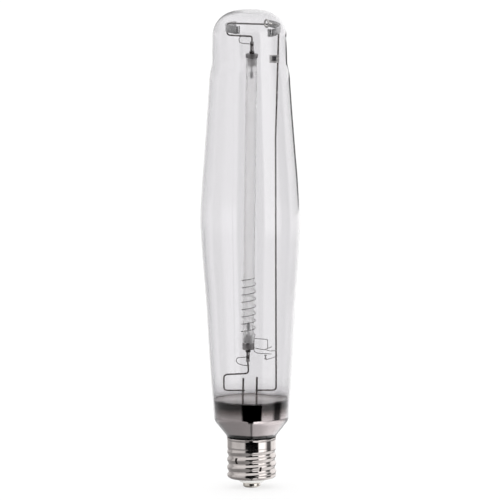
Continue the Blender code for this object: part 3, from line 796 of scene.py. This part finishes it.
def build_mirror():
    """A very thin metal lining against the inside of the glass, open above and below."""
    outside = smooth_outline(SIDE_OUTLINE, 1.2)[1:] + shoulder_outline(12)
    lining = clipped(inset(outside, GLASS_WALL + FILM_GAP), MIRROR_TOP_Z, MIRROR_FOOT_Z)
    backing = inset(lining, FILM_THICKNESS)
    item = lathe("getter_film_lining", lining + backing[::-1], closed=True, segments=144)
    finish_piece(item, "lamp", FILM_OUTSIDE, ["getter_mirror"])
    item.data.materials.append(FILM_INSIDE)
    for face in item.data.polygons:
        if face.normal.x * face.center.x + face.normal.y * face.center.y < 0:
            face.material_index = 1


# The base


def thread_drop(angle, z):
    """How far the shell's surface lies below its crests at a place on the threaded stretch."""
    fade_top = min(1.0, max(0.0, (THREAD_TOP_Z - z) / (THREAD_PITCH * 0.6)))
    fade_foot = min(1.0, max(0.0, (z - THREAD_FOOT_Z) / (THREAD_PITCH * 0.3)))
    turns = z / THREAD_PITCH - angle / (2 * math.pi)
    groove = 0.5 - 0.5 * math.cos(2 * math.pi * turns)
    return THREAD_DEPTH * groove * fade_top * fade_foot


def crest_radius(z):
    """The thread's crests lie a little further out than the collar, over a gentle rise."""
    share = min(1.0, max(0.0, (THREAD_TOP_Z - z) / THREAD_RISE))
    return COLLAR_RADIUS + (THREAD_CREST_RADIUS - COLLAR_RADIUS) * share


def build_shell():
    """The threaded shell with its rim, collar, rolled thread and turned-in foot."""
    rim = [
        (COLLAR_RADIUS + 0.10, COLLAR_TOP_Z),
        (COLLAR_RADIUS + 0.28, COLLAR_TOP_Z - 0.25),
        (COLLAR_RADIUS + 0.22, COLLAR_TOP_Z - 0.7),
        (COLLAR_RADIUS + 0.03, COLLAR_TOP_Z - 1.3),
        (COLLAR_RADIUS, COLLAR_TOP_Z - 2.0),
    ]
    outline = list(rim)
    rows = 84
    low, high = THREAD_FOOT_Z, COLLAR_TOP_Z - 2.6
    for row in range(rows + 1):
        z = high + (low - high) * row / rows
        outline.append((crest_radius(z), z))
    foot = [
        (THREAD_CREST_RADIUS, THREAD_FOOT_Z),
        (THREAD_CREST_RADIUS - 0.9, THREAD_FOOT_Z - 1.3),
        (THREAD_CREST_RADIUS - 2.0, SHELL_FOOT_Z + 0.2),
        (SHELL_FOOT_RADIUS, SHELL_FOOT_Z),
        (LIP_RADIUS, SHELL_FOOT_Z),
    ]
    outline += bent(foot, 1.4, 5)[1:]
    inner = inset(outline, SHELL_SHEET)
    count = len(outline)

    def threaded(angle, r, index):
        own_z = outline[min(index, 2 * count - 1 - index)][1]
        return r - thread_drop(angle, own_z) if THREAD_FOOT_Z < own_z < THREAD_TOP_Z else r

    item = lathe(
        "screw_shell_plated", outline + inner[::-1], closed=True, segments=144, shape=threaded
    )
    smooth(item, 50)
    finish_piece(item, "lamp", NICKEL, ["screw_shell"])


def build_stake_marks():
    """Two near-black strips lying on the shell's threads where it is staked: painted shade
    standing in for the punched dents.
    """
    steps = 12
    for side, (angle, low, high, width) in STAKE_MARKS.items():
        out = Vector((math.cos(angle), math.sin(angle), 0))
        across = Vector((-math.sin(angle), math.cos(angle), 0))
        path = []
        for step in range(steps + 1):
            z = low + (high - low) * step / steps
            reach = crest_radius(z) - thread_drop(angle, z) + STAKE_MARK_LIFT
            path.append(out * reach + Vector((0, 0, z)))
        item = strip(f"stake_mark_{side}", path, across * width, 0.14, 0.04)
        finish_piece(item, "lamp", STAKE_MARK_SHADE)


def build_base_end():
    """The insulator cone, the eyelet and its solder."""
    flange_z = SHELL_FOOT_Z + SHELL_SHEET + GAP
    flange_radius = SHELL_FOOT_RADIUS - 0.9
    head_z = 11.0
    neck = LIP_RADIUS - GAP
    foot_z = CONTACT_HEIGHT + GAP
    cone = [(neck, SHELL_FOOT_Z), (9.2, foot_z + 0.5), (8.4, foot_z), (LEAD_HOLE_RADIUS, foot_z)]
    insulator = [(flange_radius, head_z), (flange_radius, flange_z), (neck, flange_z)]
    insulator += bent(cone, 0.5, 4) + [(LEAD_HOLE_RADIUS, head_z)]
    item = lathe("insulator_glazed", insulator, closed=True)
    finish_piece(item, "lamp", CERAMIC, ["base_insulator"])
    eyelet = [
        (CONTACT_RADIUS - 0.4, CONTACT_HEIGHT),
        (CONTACT_RADIUS, CONTACT_HEIGHT - 0.3),
        (CONTACT_RADIUS, 1.1),
        (CONTACT_RADIUS - 1.1, 0.0),
        (LEAD_HOLE_RADIUS + 0.3, 0.0),
        (LEAD_HOLE_RADIUS, 0.3),
        (LEAD_HOLE_RADIUS, CONTACT_HEIGHT),
    ]
    item = lathe("eyelet_plated", bent(eyelet, 0.9, 6), closed=True)
    finish_piece(item, "lamp", EYELET, ["centre_contact"])
    plug = [(0.0, 2.0), (1.2, 2.0), (1.2, 0.4), (1.0, 0.15), (0.5, 0.06), (0.0, 0.05)]
    item = lathe("eyelet_solder", plug, segments=32)
    finish_piece(item, "lamp", SOLDER, ["contact_solder"])


# Posts, frame and springs


def build_posts():
    """The stiff posts; the nuggets where the frame wires are welded across them come with the
    other welds.
    """
    sides = zip(("left", "right"), POST_FEET_X, POST_HEADS_X, POST_HEADS_Z)
    for side, foot_x, head_x, head_z in sides:
        path = [(foot_x, POST_Y, PRESS_TOP_Z - POST_DEPTH), (head_x, POST_Y, head_z)]
        item = tube(f"post_{side}_round", [path], POST_RADIUS)
        finish_piece(item, "lamp", WIRE, [f"lead_post_{side}"])


def frame_path():
    """The long return wire's path, from the right post over the top and into the upper tube."""
    y = FRAME_Y
    mouth = ARC_HALF + NIOBIUM_OUTSIDE
    corners = [
        (3.6, y, POST_WELD_Z),
        (19.8, y, POST_WELD_Z),
        (20.3, y, 280.0),
        (22.5, y, 345.0),
        (23.3, y, 371.0),
        (-17.8, y, 372.5),
        (-17.8, y, 362.8),
        (1.9, y, 361.7),
        on_arc_axis(mouth + 1.2),
        on_arc_axis(mouth - WIRE_IN_TUBE),
    ]
    return bent(corners, BEND_RADIUS, 8)


def support_path():
    """The lower support wire's path, from the left post into the lower tube."""
    y = FRAME_Y
    mouth = ARC_HALF + NIOBIUM_OUTSIDE
    corners = [
        (-5.0, y, POST_WELD_Z),
        (-21.7, y, POST_WELD_Z),
        (-21.7, y, 90.5),
        (-1.9, y, 91.4),
        on_arc_axis(-mouth - 1.2),
        on_arc_axis(-mouth + WIRE_IN_TUBE),
    ]
    return bent(corners, BEND_RADIUS, 8)


def build_frame():
    """The two wires that carry the arc tube."""
    item = tube("frame_wire_round", [frame_path()], FRAME_WIRE_RADIUS)
    finish_piece(item, "lamp", WIRE, ["frame_wire"])
    item = tube("support_wire_round", [support_path()], SUPPORT_WIRE_RADIUS)
    finish_piece(item, "lamp", WIRE, ["lower_support_wire"])


def spring_path(side, steps=40, roll_steps=20):
    """Plan of one bumper spring from back to front, with its front end rolled inwards."""
    middle, back, front = SPRING_PLANS[side]
    height, slant = SPRING_Z[side], SPRING_SLANT[side]
    path = []
    for step in range(steps + 1):
        share = 1 - 2 * step / steps
        end = back if share > 0 else front
        x = middle[0] + (end[0] - middle[0]) * share**2
        path.append((x, end[1] * abs(share), height + slant * share))
    inwards = math.copysign(1, front[0] - middle[0])
    heading = math.atan2(2 * abs(front[0] - middle[0]), abs(front[1]))
    for step in range(1, roll_steps + 1):
        turn = heading + SPRING_ROLL_TURN * step / roll_steps
        x = front[0] + inwards * SPRING_ROLL_RADIUS * (math.cos(heading) - math.cos(turn))
        y = front[1] - SPRING_ROLL_RADIUS * (math.sin(turn) - math.sin(heading))
        path.append((x, y, height - slant))
    return path


def build_springs():
    """The two leaf springs that touch the dome's wall in front and behind."""
    for side in ("left", "right"):
        path = spring_path(side)
        item = strip(f"spring_{side}_leaf", path, (0, 0, SPRING_HEIGHT), SPRING_THICKNESS)
        finish_piece(item, "lamp", SPRING, [f"bumper_spring_{side}"])


def build_getters():
    """The ring getter, a pressed channel ring with its strip, and the square getter's tab."""
    turn = Matrix.Rotation(RING_GETTER_TURN, 4, "Z") @ Matrix.Rotation(math.pi / 2, 4, "X")
    place = Matrix.Translation(mm(*RING_GETTER_CENTRE)) @ turn
    r, s = RING_GETTER_RADIUS, RING_GETTER_SECTION
    channel = arc((r, 0), s, 150, -60, 12) + [(r + 0.25, -0.25), (r - 0.25, -0.25)]
    channel += arc((r, 0), s, -120, -210, 6)[:-1]
    item = lathe("getter_channel_ring", channel, closed=True, segments=72, place=place)
    finish_piece(item, "lamp", GETTER_STEEL, ["ring_getter"])
    x, y, z = RING_GETTER_CENTRE
    wire_front = FRAME_Y - FRAME_WIRE_RADIUS - GAP
    holder = [
        (x + 1.9, y + 1.3, z),
        (x + 4.5, wire_front - 0.4, z - 0.9),
        (20.5, wire_front - 0.2, z - 1.3),
    ]
    item = strip("getter_ring_strip", bent(holder, 1.0, 5), (0, 0, 1.6), 0.3)
    finish_piece(item, "lamp", GETTER_STEEL, ["ring_getter_holder"])
    gx, gy, gz = FLAT_GETTER_CENTRE
    tab_y = gy + FLAT_GETTER_SIZE[1] / 2 + 0.4
    tab = [(x, tab_y, gz - 0.5) for x in FLAT_GETTER_TAB_X]
    item = strip("getter_tab_plate", tab, (0, 0, FLAT_GETTER_TAB_HEIGHT), 0.2, 0.05)
    finish_piece(item, "lamp", TAB_STEEL, ["flat_getter_tab"])


# The arc tube


def turned_over(outline, sign):
    """The outline for the upper end, or turned over for the lower one."""
    if sign > 0:
        return outline
    return [(r, -z) for r, z in reversed(outline)]


def build_arc_tube():
    """The translucent tube and, at each end, its closure, seal, feedthrough and electrode."""
    upper_end = ARC_HALF - UPPER_FLANGE[1] - GAP
    lower_end = -ARC_HALF + LOWER_FLANGE[1] + GAP
    bore = ARC_RADIUS - ARC_WALL
    rows = 40
    heights = [upper_end + (lower_end - upper_end) * row / rows for row in range(rows + 1)]
    outline = [(ARC_RADIUS, z) for z in heights] + [(bore, z) for z in reversed(heights)]
    item = lathe("alumina_tube", outline, closed=True, segments=72, place=ARC_FRAME)
    finish_piece(item, "arc_tube_body", ALUMINA, ["arc_tube"])
    for end, flange in (("upper", UPPER_FLANGE), ("lower", LOWER_FLANGE)):
        build_arc_tube_end(end, flange)


def build_arc_tube_end(end, flange):
    """One end of the arc tube, worked out for the upper end and turned over for the lower."""
    sign = 1 if end == "upper" else -1
    radius, height = flange
    seat = ARC_HALF - height
    plug_radius = ARC_RADIUS - ARC_WALL - GAP
    hole = NIOBIUM_RADIUS + GAP
    flange_outline = [(hole, ARC_HALF), (radius, ARC_HALF), (radius, seat), (plug_radius, seat)]
    plug = bent(flange_outline, 0.5, 4)
    plug += [(plug_radius, seat - PLUG_DEPTH), (hole, seat - PLUG_DEPTH)]
    item = lathe(f"{end}_closure", turned_over(plug, sign), True, 64, ARC_FRAME)
    finish_piece(item, "arc_tube_body", END_CERAMIC, [f"{end}_end_plug"])
    foot = ARC_HALF + GAP
    centre = (hole + FRIT_RADIUS) / 2, foot + FRIT_HEIGHT / 2
    bead = arc(centre, (FRIT_RADIUS - hole) / 2 + 0.02, 90, -90, 8)
    bead = [(r, foot + FRIT_HEIGHT) for r in (hole, hole + 0.2)] + bead[1:-1] + [(hole, foot)]
    item = lathe(f"{end}_frit_bead", turned_over(bead, sign), True, 48, ARC_FRAME)
    finish_piece(item, "arc_tube_body", FRIT, [f"{end}_frit_ring"])
    mouth = ARC_HALF + NIOBIUM_OUTSIDE
    bore = NIOBIUM_RADIUS - NIOBIUM_WALL
    bore_floor = mouth - WIRE_IN_TUBE - 3.0
    inner_end = seat - NIOBIUM_INSIDE
    sleeve = [(0.0, bore_floor), (bore, bore_floor), (bore, mouth - 0.1), (bore + 0.1, mouth)]
    sleeve += [(NIOBIUM_RADIUS - 0.15, mouth), (NIOBIUM_RADIUS, mouth - 0.15)]
    sleeve += [(NIOBIUM_RADIUS, inner_end), (0.0, inner_end)]
    item = lathe(f"{end}_niobium_sleeve", turned_over(sleeve, sign), False, 48, ARC_FRAME)
    finish_piece(item, "arc_tube_body", NIOBIUM, [f"{end}_niobium_tube"])
    rod_head = inner_end - GAP
    rod_tip = rod_head - ELECTRODE_LENGTH
    rod = [(0, 0, sign * rod_head), (0, 0, sign * rod_tip)]
    item = tube(f"{end}_tungsten_rod", [rod], ELECTRODE_RADIUS, ARC_FRAME)
    finish_piece(item, "arc_tube_body", TUNGSTEN, [f"{end}_electrode_rod"])
    coil = [(x, y, sign * z) for x, y, z in helix(1.1, 0.75, 6, rod_tip + 1.0, 0, 24)]
    item = tube(f"{end}_tungsten_coil", [coil], 0.28, ARC_FRAME, 3)
    finish_piece(item, "arc_tube_body", TUNGSTEN, [f"{end}_electrode_coil"])


def build_straps():
    """The flexible straps, which bend as the arc tube moves along its axis."""
    strap_radius = 0.3
    stand_off = GAP + strap_radius + 0.05
    tube_y = FRAME_Y - NIOBIUM_RADIUS - stand_off
    wire_y = FRAME_Y - FRAME_WIRE_RADIUS - stand_off
    upper = [
        (1.9, tube_y, 355.8),
        (-5.6, wire_y, 356.4),
        (-8.0, wire_y, 357.1),
        (-8.4, wire_y, 359.6),
        (-7.0, wire_y, 362.0),
        (-2.0, wire_y, 361.9),
    ]
    item = tube("upper_strap_wire", [bent(upper, 1.2, 8)], strap_radius, None, 3)
    finish_piece(item, None, FINE_WIRE, ["upper_strap"])
    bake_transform(item)
    lower = [
        (-2.6, tube_y, 104.9),
        (-10.9, wire_y, 104.2),
        (-12.0, wire_y, 101.9),
        (-10.7, wire_y, 99.6),
        (-7.4, wire_y, 98.4),
        (-2.2, wire_y, 97.7),
    ]
    item = tube("lower_strap_wire", [bent(lower, 1.2, 8)], strap_radius, None, 3)
    finish_piece(item, None, FINE_WIRE, ["lower_strap"])
    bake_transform(item)


# The starting aid and its switch


def tail_spot():
    """Where the starting aid's straight tail stands beside the arc tube, in x and y."""
    x = on_arc_axis(AID_FOOT_Z - ARC_CENTRE[2])[0] + AID_RADIUS * math.cos(AID_TAIL_ANGLE)
    return x, FRAME_Y + AID_RADIUS * math.sin(AID_TAIL_ANGLE)


def build_starting_aid():
    """Open turns round the lower arc tube, then a tail down and across to the spool."""
    tail_x, tail_y = tail_spot()
    lean = math.tan(ARC_LEAN)
    coil = []
    for x, y, z in helix(AID_RADIUS, AID_PITCH, AID_TURNS, AID_FOOT_Z, AID_TAIL_ANGLE):
        coil.append(Vector((ARC_CENTRE[0] + x + (z - ARC_CENTRE[2]) * lean, FRAME_Y + y, z)))
    tail = [
        (16.4, tail_y, SPOOL_Z[1] + 0.6),
        (5.1, tail_y, 108.1),
        (tail_x, tail_y, 109.6),
        (tail_x, tail_y, AID_FOOT_Z - 0.6),
    ]
    item = tube("aid_wire_coil", [bent(tail, 1.6) + coil[1:]], AID_WIRE_RADIUS, None, 3)
    finish_piece(item, "lamp", FINE_WIRE, ["starting_aid_wire"])


def build_switch():
    """The bimetal hairpin on its bracket, its two contact wires, and the spool."""
    tail_x, tail_y = tail_spot()
    root_x, root_z = BLADE_ROOT
    wire_front = FRAME_Y - FRAME_WIRE_RADIUS - GAP
    blade_y = wire_front - BLADE_WIDTH / 2
    across = (0, BLADE_WIDTH, 0)
    bracket = [
        (20.6, blade_y, root_z + 0.5),
        (18.0, blade_y, root_z + 0.3),
        (root_x + 0.35, blade_y, root_z),
    ]
    item = strip("bracket_plate", bent(bracket, 1.0, 4), across, STRIP_THICKNESS)
    finish_piece(item, "lamp", SPRING, ["switch_bracket"])
    hairpin = [
        (root_x, blade_y, root_z),
        (BLADE_TURN[0], blade_y, BLADE_TURN[1]),
        (BLADE_END[0], blade_y, BLADE_END[1]),
    ]
    item = strip("hairpin_blade", bent(hairpin, 0.6, 10), across, STRIP_THICKNESS * 0.8)
    finish_piece(item, "thermal_switch", BIMETAL, ["bimetal_blade"])
    front = wire_front - BLADE_WIDTH - GAP - AID_WIRE_RADIUS
    tip_x = tail_x + AID_WIRE_RADIUS + GAP
    lower = [(tip_x, tail_y, 112.2), (9.6, front, 111.1), (11.6, front, 111.1)]
    item = tube("finger_lower_wire", [bent(lower, 1.0)], AID_WIRE_RADIUS)
    finish_piece(item, "thermal_switch", FINE_WIRE, ["contact_finger_lower"])
    upper = [(tip_x, tail_y, 119.9), (13.2, front, 119.2), (13.2, front, 111.6)]
    item = tube("finger_upper_wire", [bent(upper, 1.0)], AID_WIRE_RADIUS)
    finish_piece(item, "thermal_switch", FINE_WIRE, ["contact_finger_upper"])
    low, high = SPOOL_Z
    spool = [(0, high), (1.0, high), (1.0, high - 0.7), (0.45, high - 1.0)]
    spool += [(0.45, low + 1.0), (1.0, low + 0.7), (1.0, low), (0, low)]
    place = Matrix.Translation(mm(SPOOL_X, tail_y, 0))
    item = lathe("spool_glazed", spool, segments=40, place=place)
    finish_piece(item, "lamp", SPOOL, ["aid_insulator"])
    y_end = wire_front - GAP
    path = [(SPOOL_X, tail_y, low - 0.6), (16.4, tail_y, 104.0), (20.8, y_end, 105.4)]
    item = tube("spool_holder_wire", [bent(path, 1.5)], 0.25)
    finish_piece(item, "lamp", FINE_WIRE, ["insulator_bracket"])


def build_welds():
    """Small dark nuggets where wires are welded together."""
    front = FRAME_Y - FRAME_WIRE_RADIUS + 0.1
    spots = [
        (-6.5, 0.0, POST_WELD_Z, 1.0, 0.9),
        (4.3, 0.0, POST_WELD_Z, 1.0, 0.9),
        (20.0, front, 110.4, 0.75, 0.7),
        (20.1, front, 105.6, 0.75, 0.7),
        (-2.2, front, 97.7, 0.8, 0.8),
        (-1.9, front, 361.9, 0.8, 0.8),
    ]
    item = blobs("frame_welds", spots)
    finish_piece(item, "lamp", WIRE)
    upper = on_arc_axis(126.4)
    lower = on_arc_axis(-124.3)
    tube_front = FRAME_Y - NIOBIUM_RADIUS
    item = blobs(
        "tube_welds",
        [(upper[0], tube_front, upper[2], 1.2, 0.8), (lower[0], tube_front, lower[2], 1.4, 0.8)],
    )
    finish_piece(item, "arc_tube_body", FRIT)


def finish_kept_nodes():
    """CAD solids whose shape is right keep it, and get their materials and smooth shading."""
    kept = {
        "stem_glass": STEM,
        "exhaust_tube": STEM,
        "centre_lead": COPPER,
        "shell_lead": COPPER,
        "flat_getter": POWDER,
    }
    for name, finish in kept.items():
        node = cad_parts[name]
        node.data.materials.clear()
        node.data.materials.append(finish)
        smooth(node, 45)


build_jacket()
build_mirror()
build_shell()
build_stake_marks()
build_base_end()
build_posts()
build_frame()
build_springs()
build_getters()
build_arc_tube()
build_straps()
build_starting_aid()
build_switch()
build_welds()
finish_kept_nodes()


# Studio


# What the studio shows in reflections: greys by the compass, in degrees from the camera's side,
# at the camera's own level, for the glass's edges, the dome, and lower and lower down
LEVEL_RING = [
    (-180, 1.0), (-158, 0.95), (-146, 0.45), (-112, 0.45), (-100, 0.74),
    (-34, 0.72), (-27, 0.0), (31, 0.0), (36, 1.75), (60, 1.75), (70, 1.3),
    (80, 0.13), (100, 0.13), (110, 1.2), (160, 1.2), (172, 1.0),
]
EDGE_RING = LEVEL_RING[:-2] + [(144, 0.7), (150, 0.08), (165, 0.08), (172, 1.0)]
CROWN_RING = [(-179, 1.0), (-176, 0.35), (-168, 0.35), (-160, 0.8)] + LEVEL_RING[3:]
LOW_RING = [
    (-180, 0.55), (-150, 0.4), (-120, 0.32), (-34, 0.36), (-27, 0.0), (31, 0.0),
    (36, 0.8), (66, 0.7), (80, 0.06), (98, 0.06), (108, 0.5), (160, 0.4),
    (180, 0.55),
]
CORNER_RING = [
    (-180, 0.3), (-34, 0.34), (-27, 0.0), (14, 0.0), (26, 1.5), (80, 1.3),
    (150, 0.8), (180, 1.0),
]
# Greys of the table from left to right, with a dark seam in the middle, and at its back
TABLE_GREYS = [
    (-1.0, 0.26), (-0.5, 0.29), (-0.05, 0.33), (-0.02, 0.14), (0.02, 0.14),
    (0.06, 0.5), (0.35, 0.58), (0.6, 0.9), (1.0, 0.9),
]
TABLE_BACK = (0.14, 0.135, 0.135, 1)
# Where one band passes into the next, as the upward share of a ray's direction
PASSAGES = {
    "ceiling": (0.42, 0.62),
    "crown": (-0.075, -0.06),
    "edge": (-0.122, -0.112),
    "low": (-0.145, -0.25),
    "corner": (-0.30, -0.52),
    "table": (-0.55, -0.92),
}
FLOOR_SIZE = 30.0
FLOOR_PAINT = (0.18, 0.18, 0.18)
FLOOR_GLOW = 0.62


def build_floor():
    """A plain white floor that stays out of the polished metal."""
    bpy.ops.mesh.primitive_plane_add(size=FLOOR_SIZE, location=(0, 0, 0))
    floor = bpy.context.object
    floor.name = "studio_floor"
    paint = Finish("studio_white", FLOOR_PAINT, 0.9)
    paint.set("Emission Color", (1, 1, 1, 1))
    paint.set("Emission Strength", FLOOR_GLOW)
    clear = paint.node("BsdfTransparent")
    path = paint.node("LightPath")
    mix = paint.node("MixShader")
    reflected = paint.node("Math", operation="GREATER_THAN")
    reflected.inputs[1].default_value = 0.5
    paint.wire(path.outputs["Glossy Depth"], reflected.inputs[0])
    paint.wire(reflected.outputs["Value"], mix.inputs["Fac"])
    paint.wire(paint.shader.outputs["BSDF"], mix.inputs[1])
    paint.wire(clear.outputs["BSDF"], mix.inputs[2])
    paint.wire(mix.outputs["Shader"], paint.output.inputs["Surface"])
    floor.data.materials.append(paint.material)


def grey(level):
    """An opaque grey."""
    return (level, level, level, 1)


class Surroundings(Graph):
    """The world's nodes: greys worked out from the direction that a ray leaves in."""

    def feed(self, socket, value):
        """Give a socket a plain value or another node's output."""
        if isinstance(value, (int, float, tuple)):
            socket.default_value = value
        else:
            self.wire(value, socket)

    def calculate(self, operation, *values):
        """A sum on numbers."""
        made = self.node("Math", operation=operation)
        for socket, value in zip(made.inputs, values):
            self.feed(socket, value)
        return made.outputs["Value"]

    def mixed(self, factor, first, second):
        """One colour passing into another."""
        made = self.node("Mix", data_type="RGBA")
        self.feed(made.inputs["Factor"], factor)
        self.feed(made.inputs[6], first)
        self.feed(made.inputs[7], second)
        return made.outputs[2]

    def stepped(self, value, low, high):
        """0 below one value and 1 past another, with a soft passage."""
        made = self.node("MapRange", interpolation_type="SMOOTHSTEP")
        made.inputs["From Min"].default_value = low
        made.inputs["From Max"].default_value = high
        self.wire(value, made.inputs["Value"])
        return made.outputs["Result"]

    def banded(self, value, half_span, stops):
        """Greys along a value that runs from -half_span to half_span."""
        ramp = self.node("ValToRGB")
        points = ramp.color_ramp.elements
        places = [0.5 + place / (2 * half_span) for place, _ in stops]
        points[0].position, points[1].position = places[0], places[-1]
        for place in places[1:-1]:
            points.new(place)
        for point, (_, level) in zip(points, stops):
            point.color = grey(level)
        share = self.calculate("MULTIPLY_ADD", value, 0.5 / half_span, 0.5)
        self.wire(share, ramp.inputs["Fac"])
        return ramp.outputs["Color"]

    def all_round(self, turn, stops):
        """Greys by the compass: stops of (degrees, grey) for a turn in radians."""
        return self.banded(turn, math.pi, [(math.radians(angle), level) for angle, level in stops])


def build_world():
    """White all round behind the lamp, and the studio's cards and softboxes in reflections."""
    world = bpy.data.worlds.new("studio")
    bpy.context.scene.world = world
    around = Surroundings(world)
    parts = around.node("SeparateXYZ")
    around.wire(around.node("TexCoord").outputs["Generated"], parts.inputs["Vector"])
    x, y, z = parts.outputs["X"], parts.outputs["Y"], parts.outputs["Z"]
    turn = around.calculate("ARCTAN2", x, around.calculate("MULTIPLY", y, -1.0))
    narrowing = around.calculate("MULTIPLY_ADD", around.stepped(z, -0.30, -0.50), 1.6, 1.0)
    low_turn = around.calculate("MULTIPLY", turn, narrowing)

    def passing(name, first, second):
        """One band passing into the next, further up or down."""
        return around.mixed(around.stepped(z, *PASSAGES[name]), first, second)

    level = passing("edge", around.all_round(turn, LEVEL_RING), around.all_round(turn, EDGE_RING))
    level = passing("crown", level, around.all_round(turn, CROWN_RING))
    low, corner = around.all_round(low_turn, LOW_RING), around.all_round(low_turn, CORNER_RING)
    sides = passing("low", level, passing("corner", low, corner))
    sides = passing("ceiling", sides, grey(0.95))
    table = around.banded(x, 1.0, TABLE_GREYS)
    table = around.mixed(around.stepped(y, 0.35, 0.85), table, TABLE_BACK)
    studio = passing("table", sides, table)

    soft = around.mixed(around.stepped(z, -0.6, 0.7), grey(1.3), grey(2.6))
    path = around.node("LightPath")
    direct = around.calculate("LESS_THAN", path.outputs["Glossy Depth"], 0.5)
    scattered = around.calculate("GREATER_THAN", path.outputs["Diffuse Depth"], 0.5)
    plain = around.mixed(direct, studio, grey(1.0))
    around.wire(around.mixed(scattered, plain, soft), around.nodes["Background"].inputs["Color"])


def build_camera():
    """A long lens a little above the lamp, square to the plane of its wires."""
    data = bpy.data.cameras.new("camera")
    data.lens = CAMERA_LENS
    data.sensor_width = CAMERA_SENSOR
    camera = new_object("camera", data)
    distance = FRAME_HEIGHT * CAMERA_LENS / CAMERA_SENSOR * MM
    back = Vector((0, -math.cos(CAMERA_ELEVATION), math.sin(CAMERA_ELEVATION)))
    camera.location = mm(*CAMERA_AIM) + back * distance
    facing = (-back).to_track_quat("-Z", "Y").to_matrix().to_4x4()
    turn = facing @ Matrix.Rotation(CAMERA_ROLL, 4, "Z")
    camera.rotation_euler = turn.to_euler()
    data.clip_end = 200
    bpy.context.scene.camera = camera


build_floor()
build_world()
build_camera()
bpy.context.scene.view_settings.view_transform = "Standard"
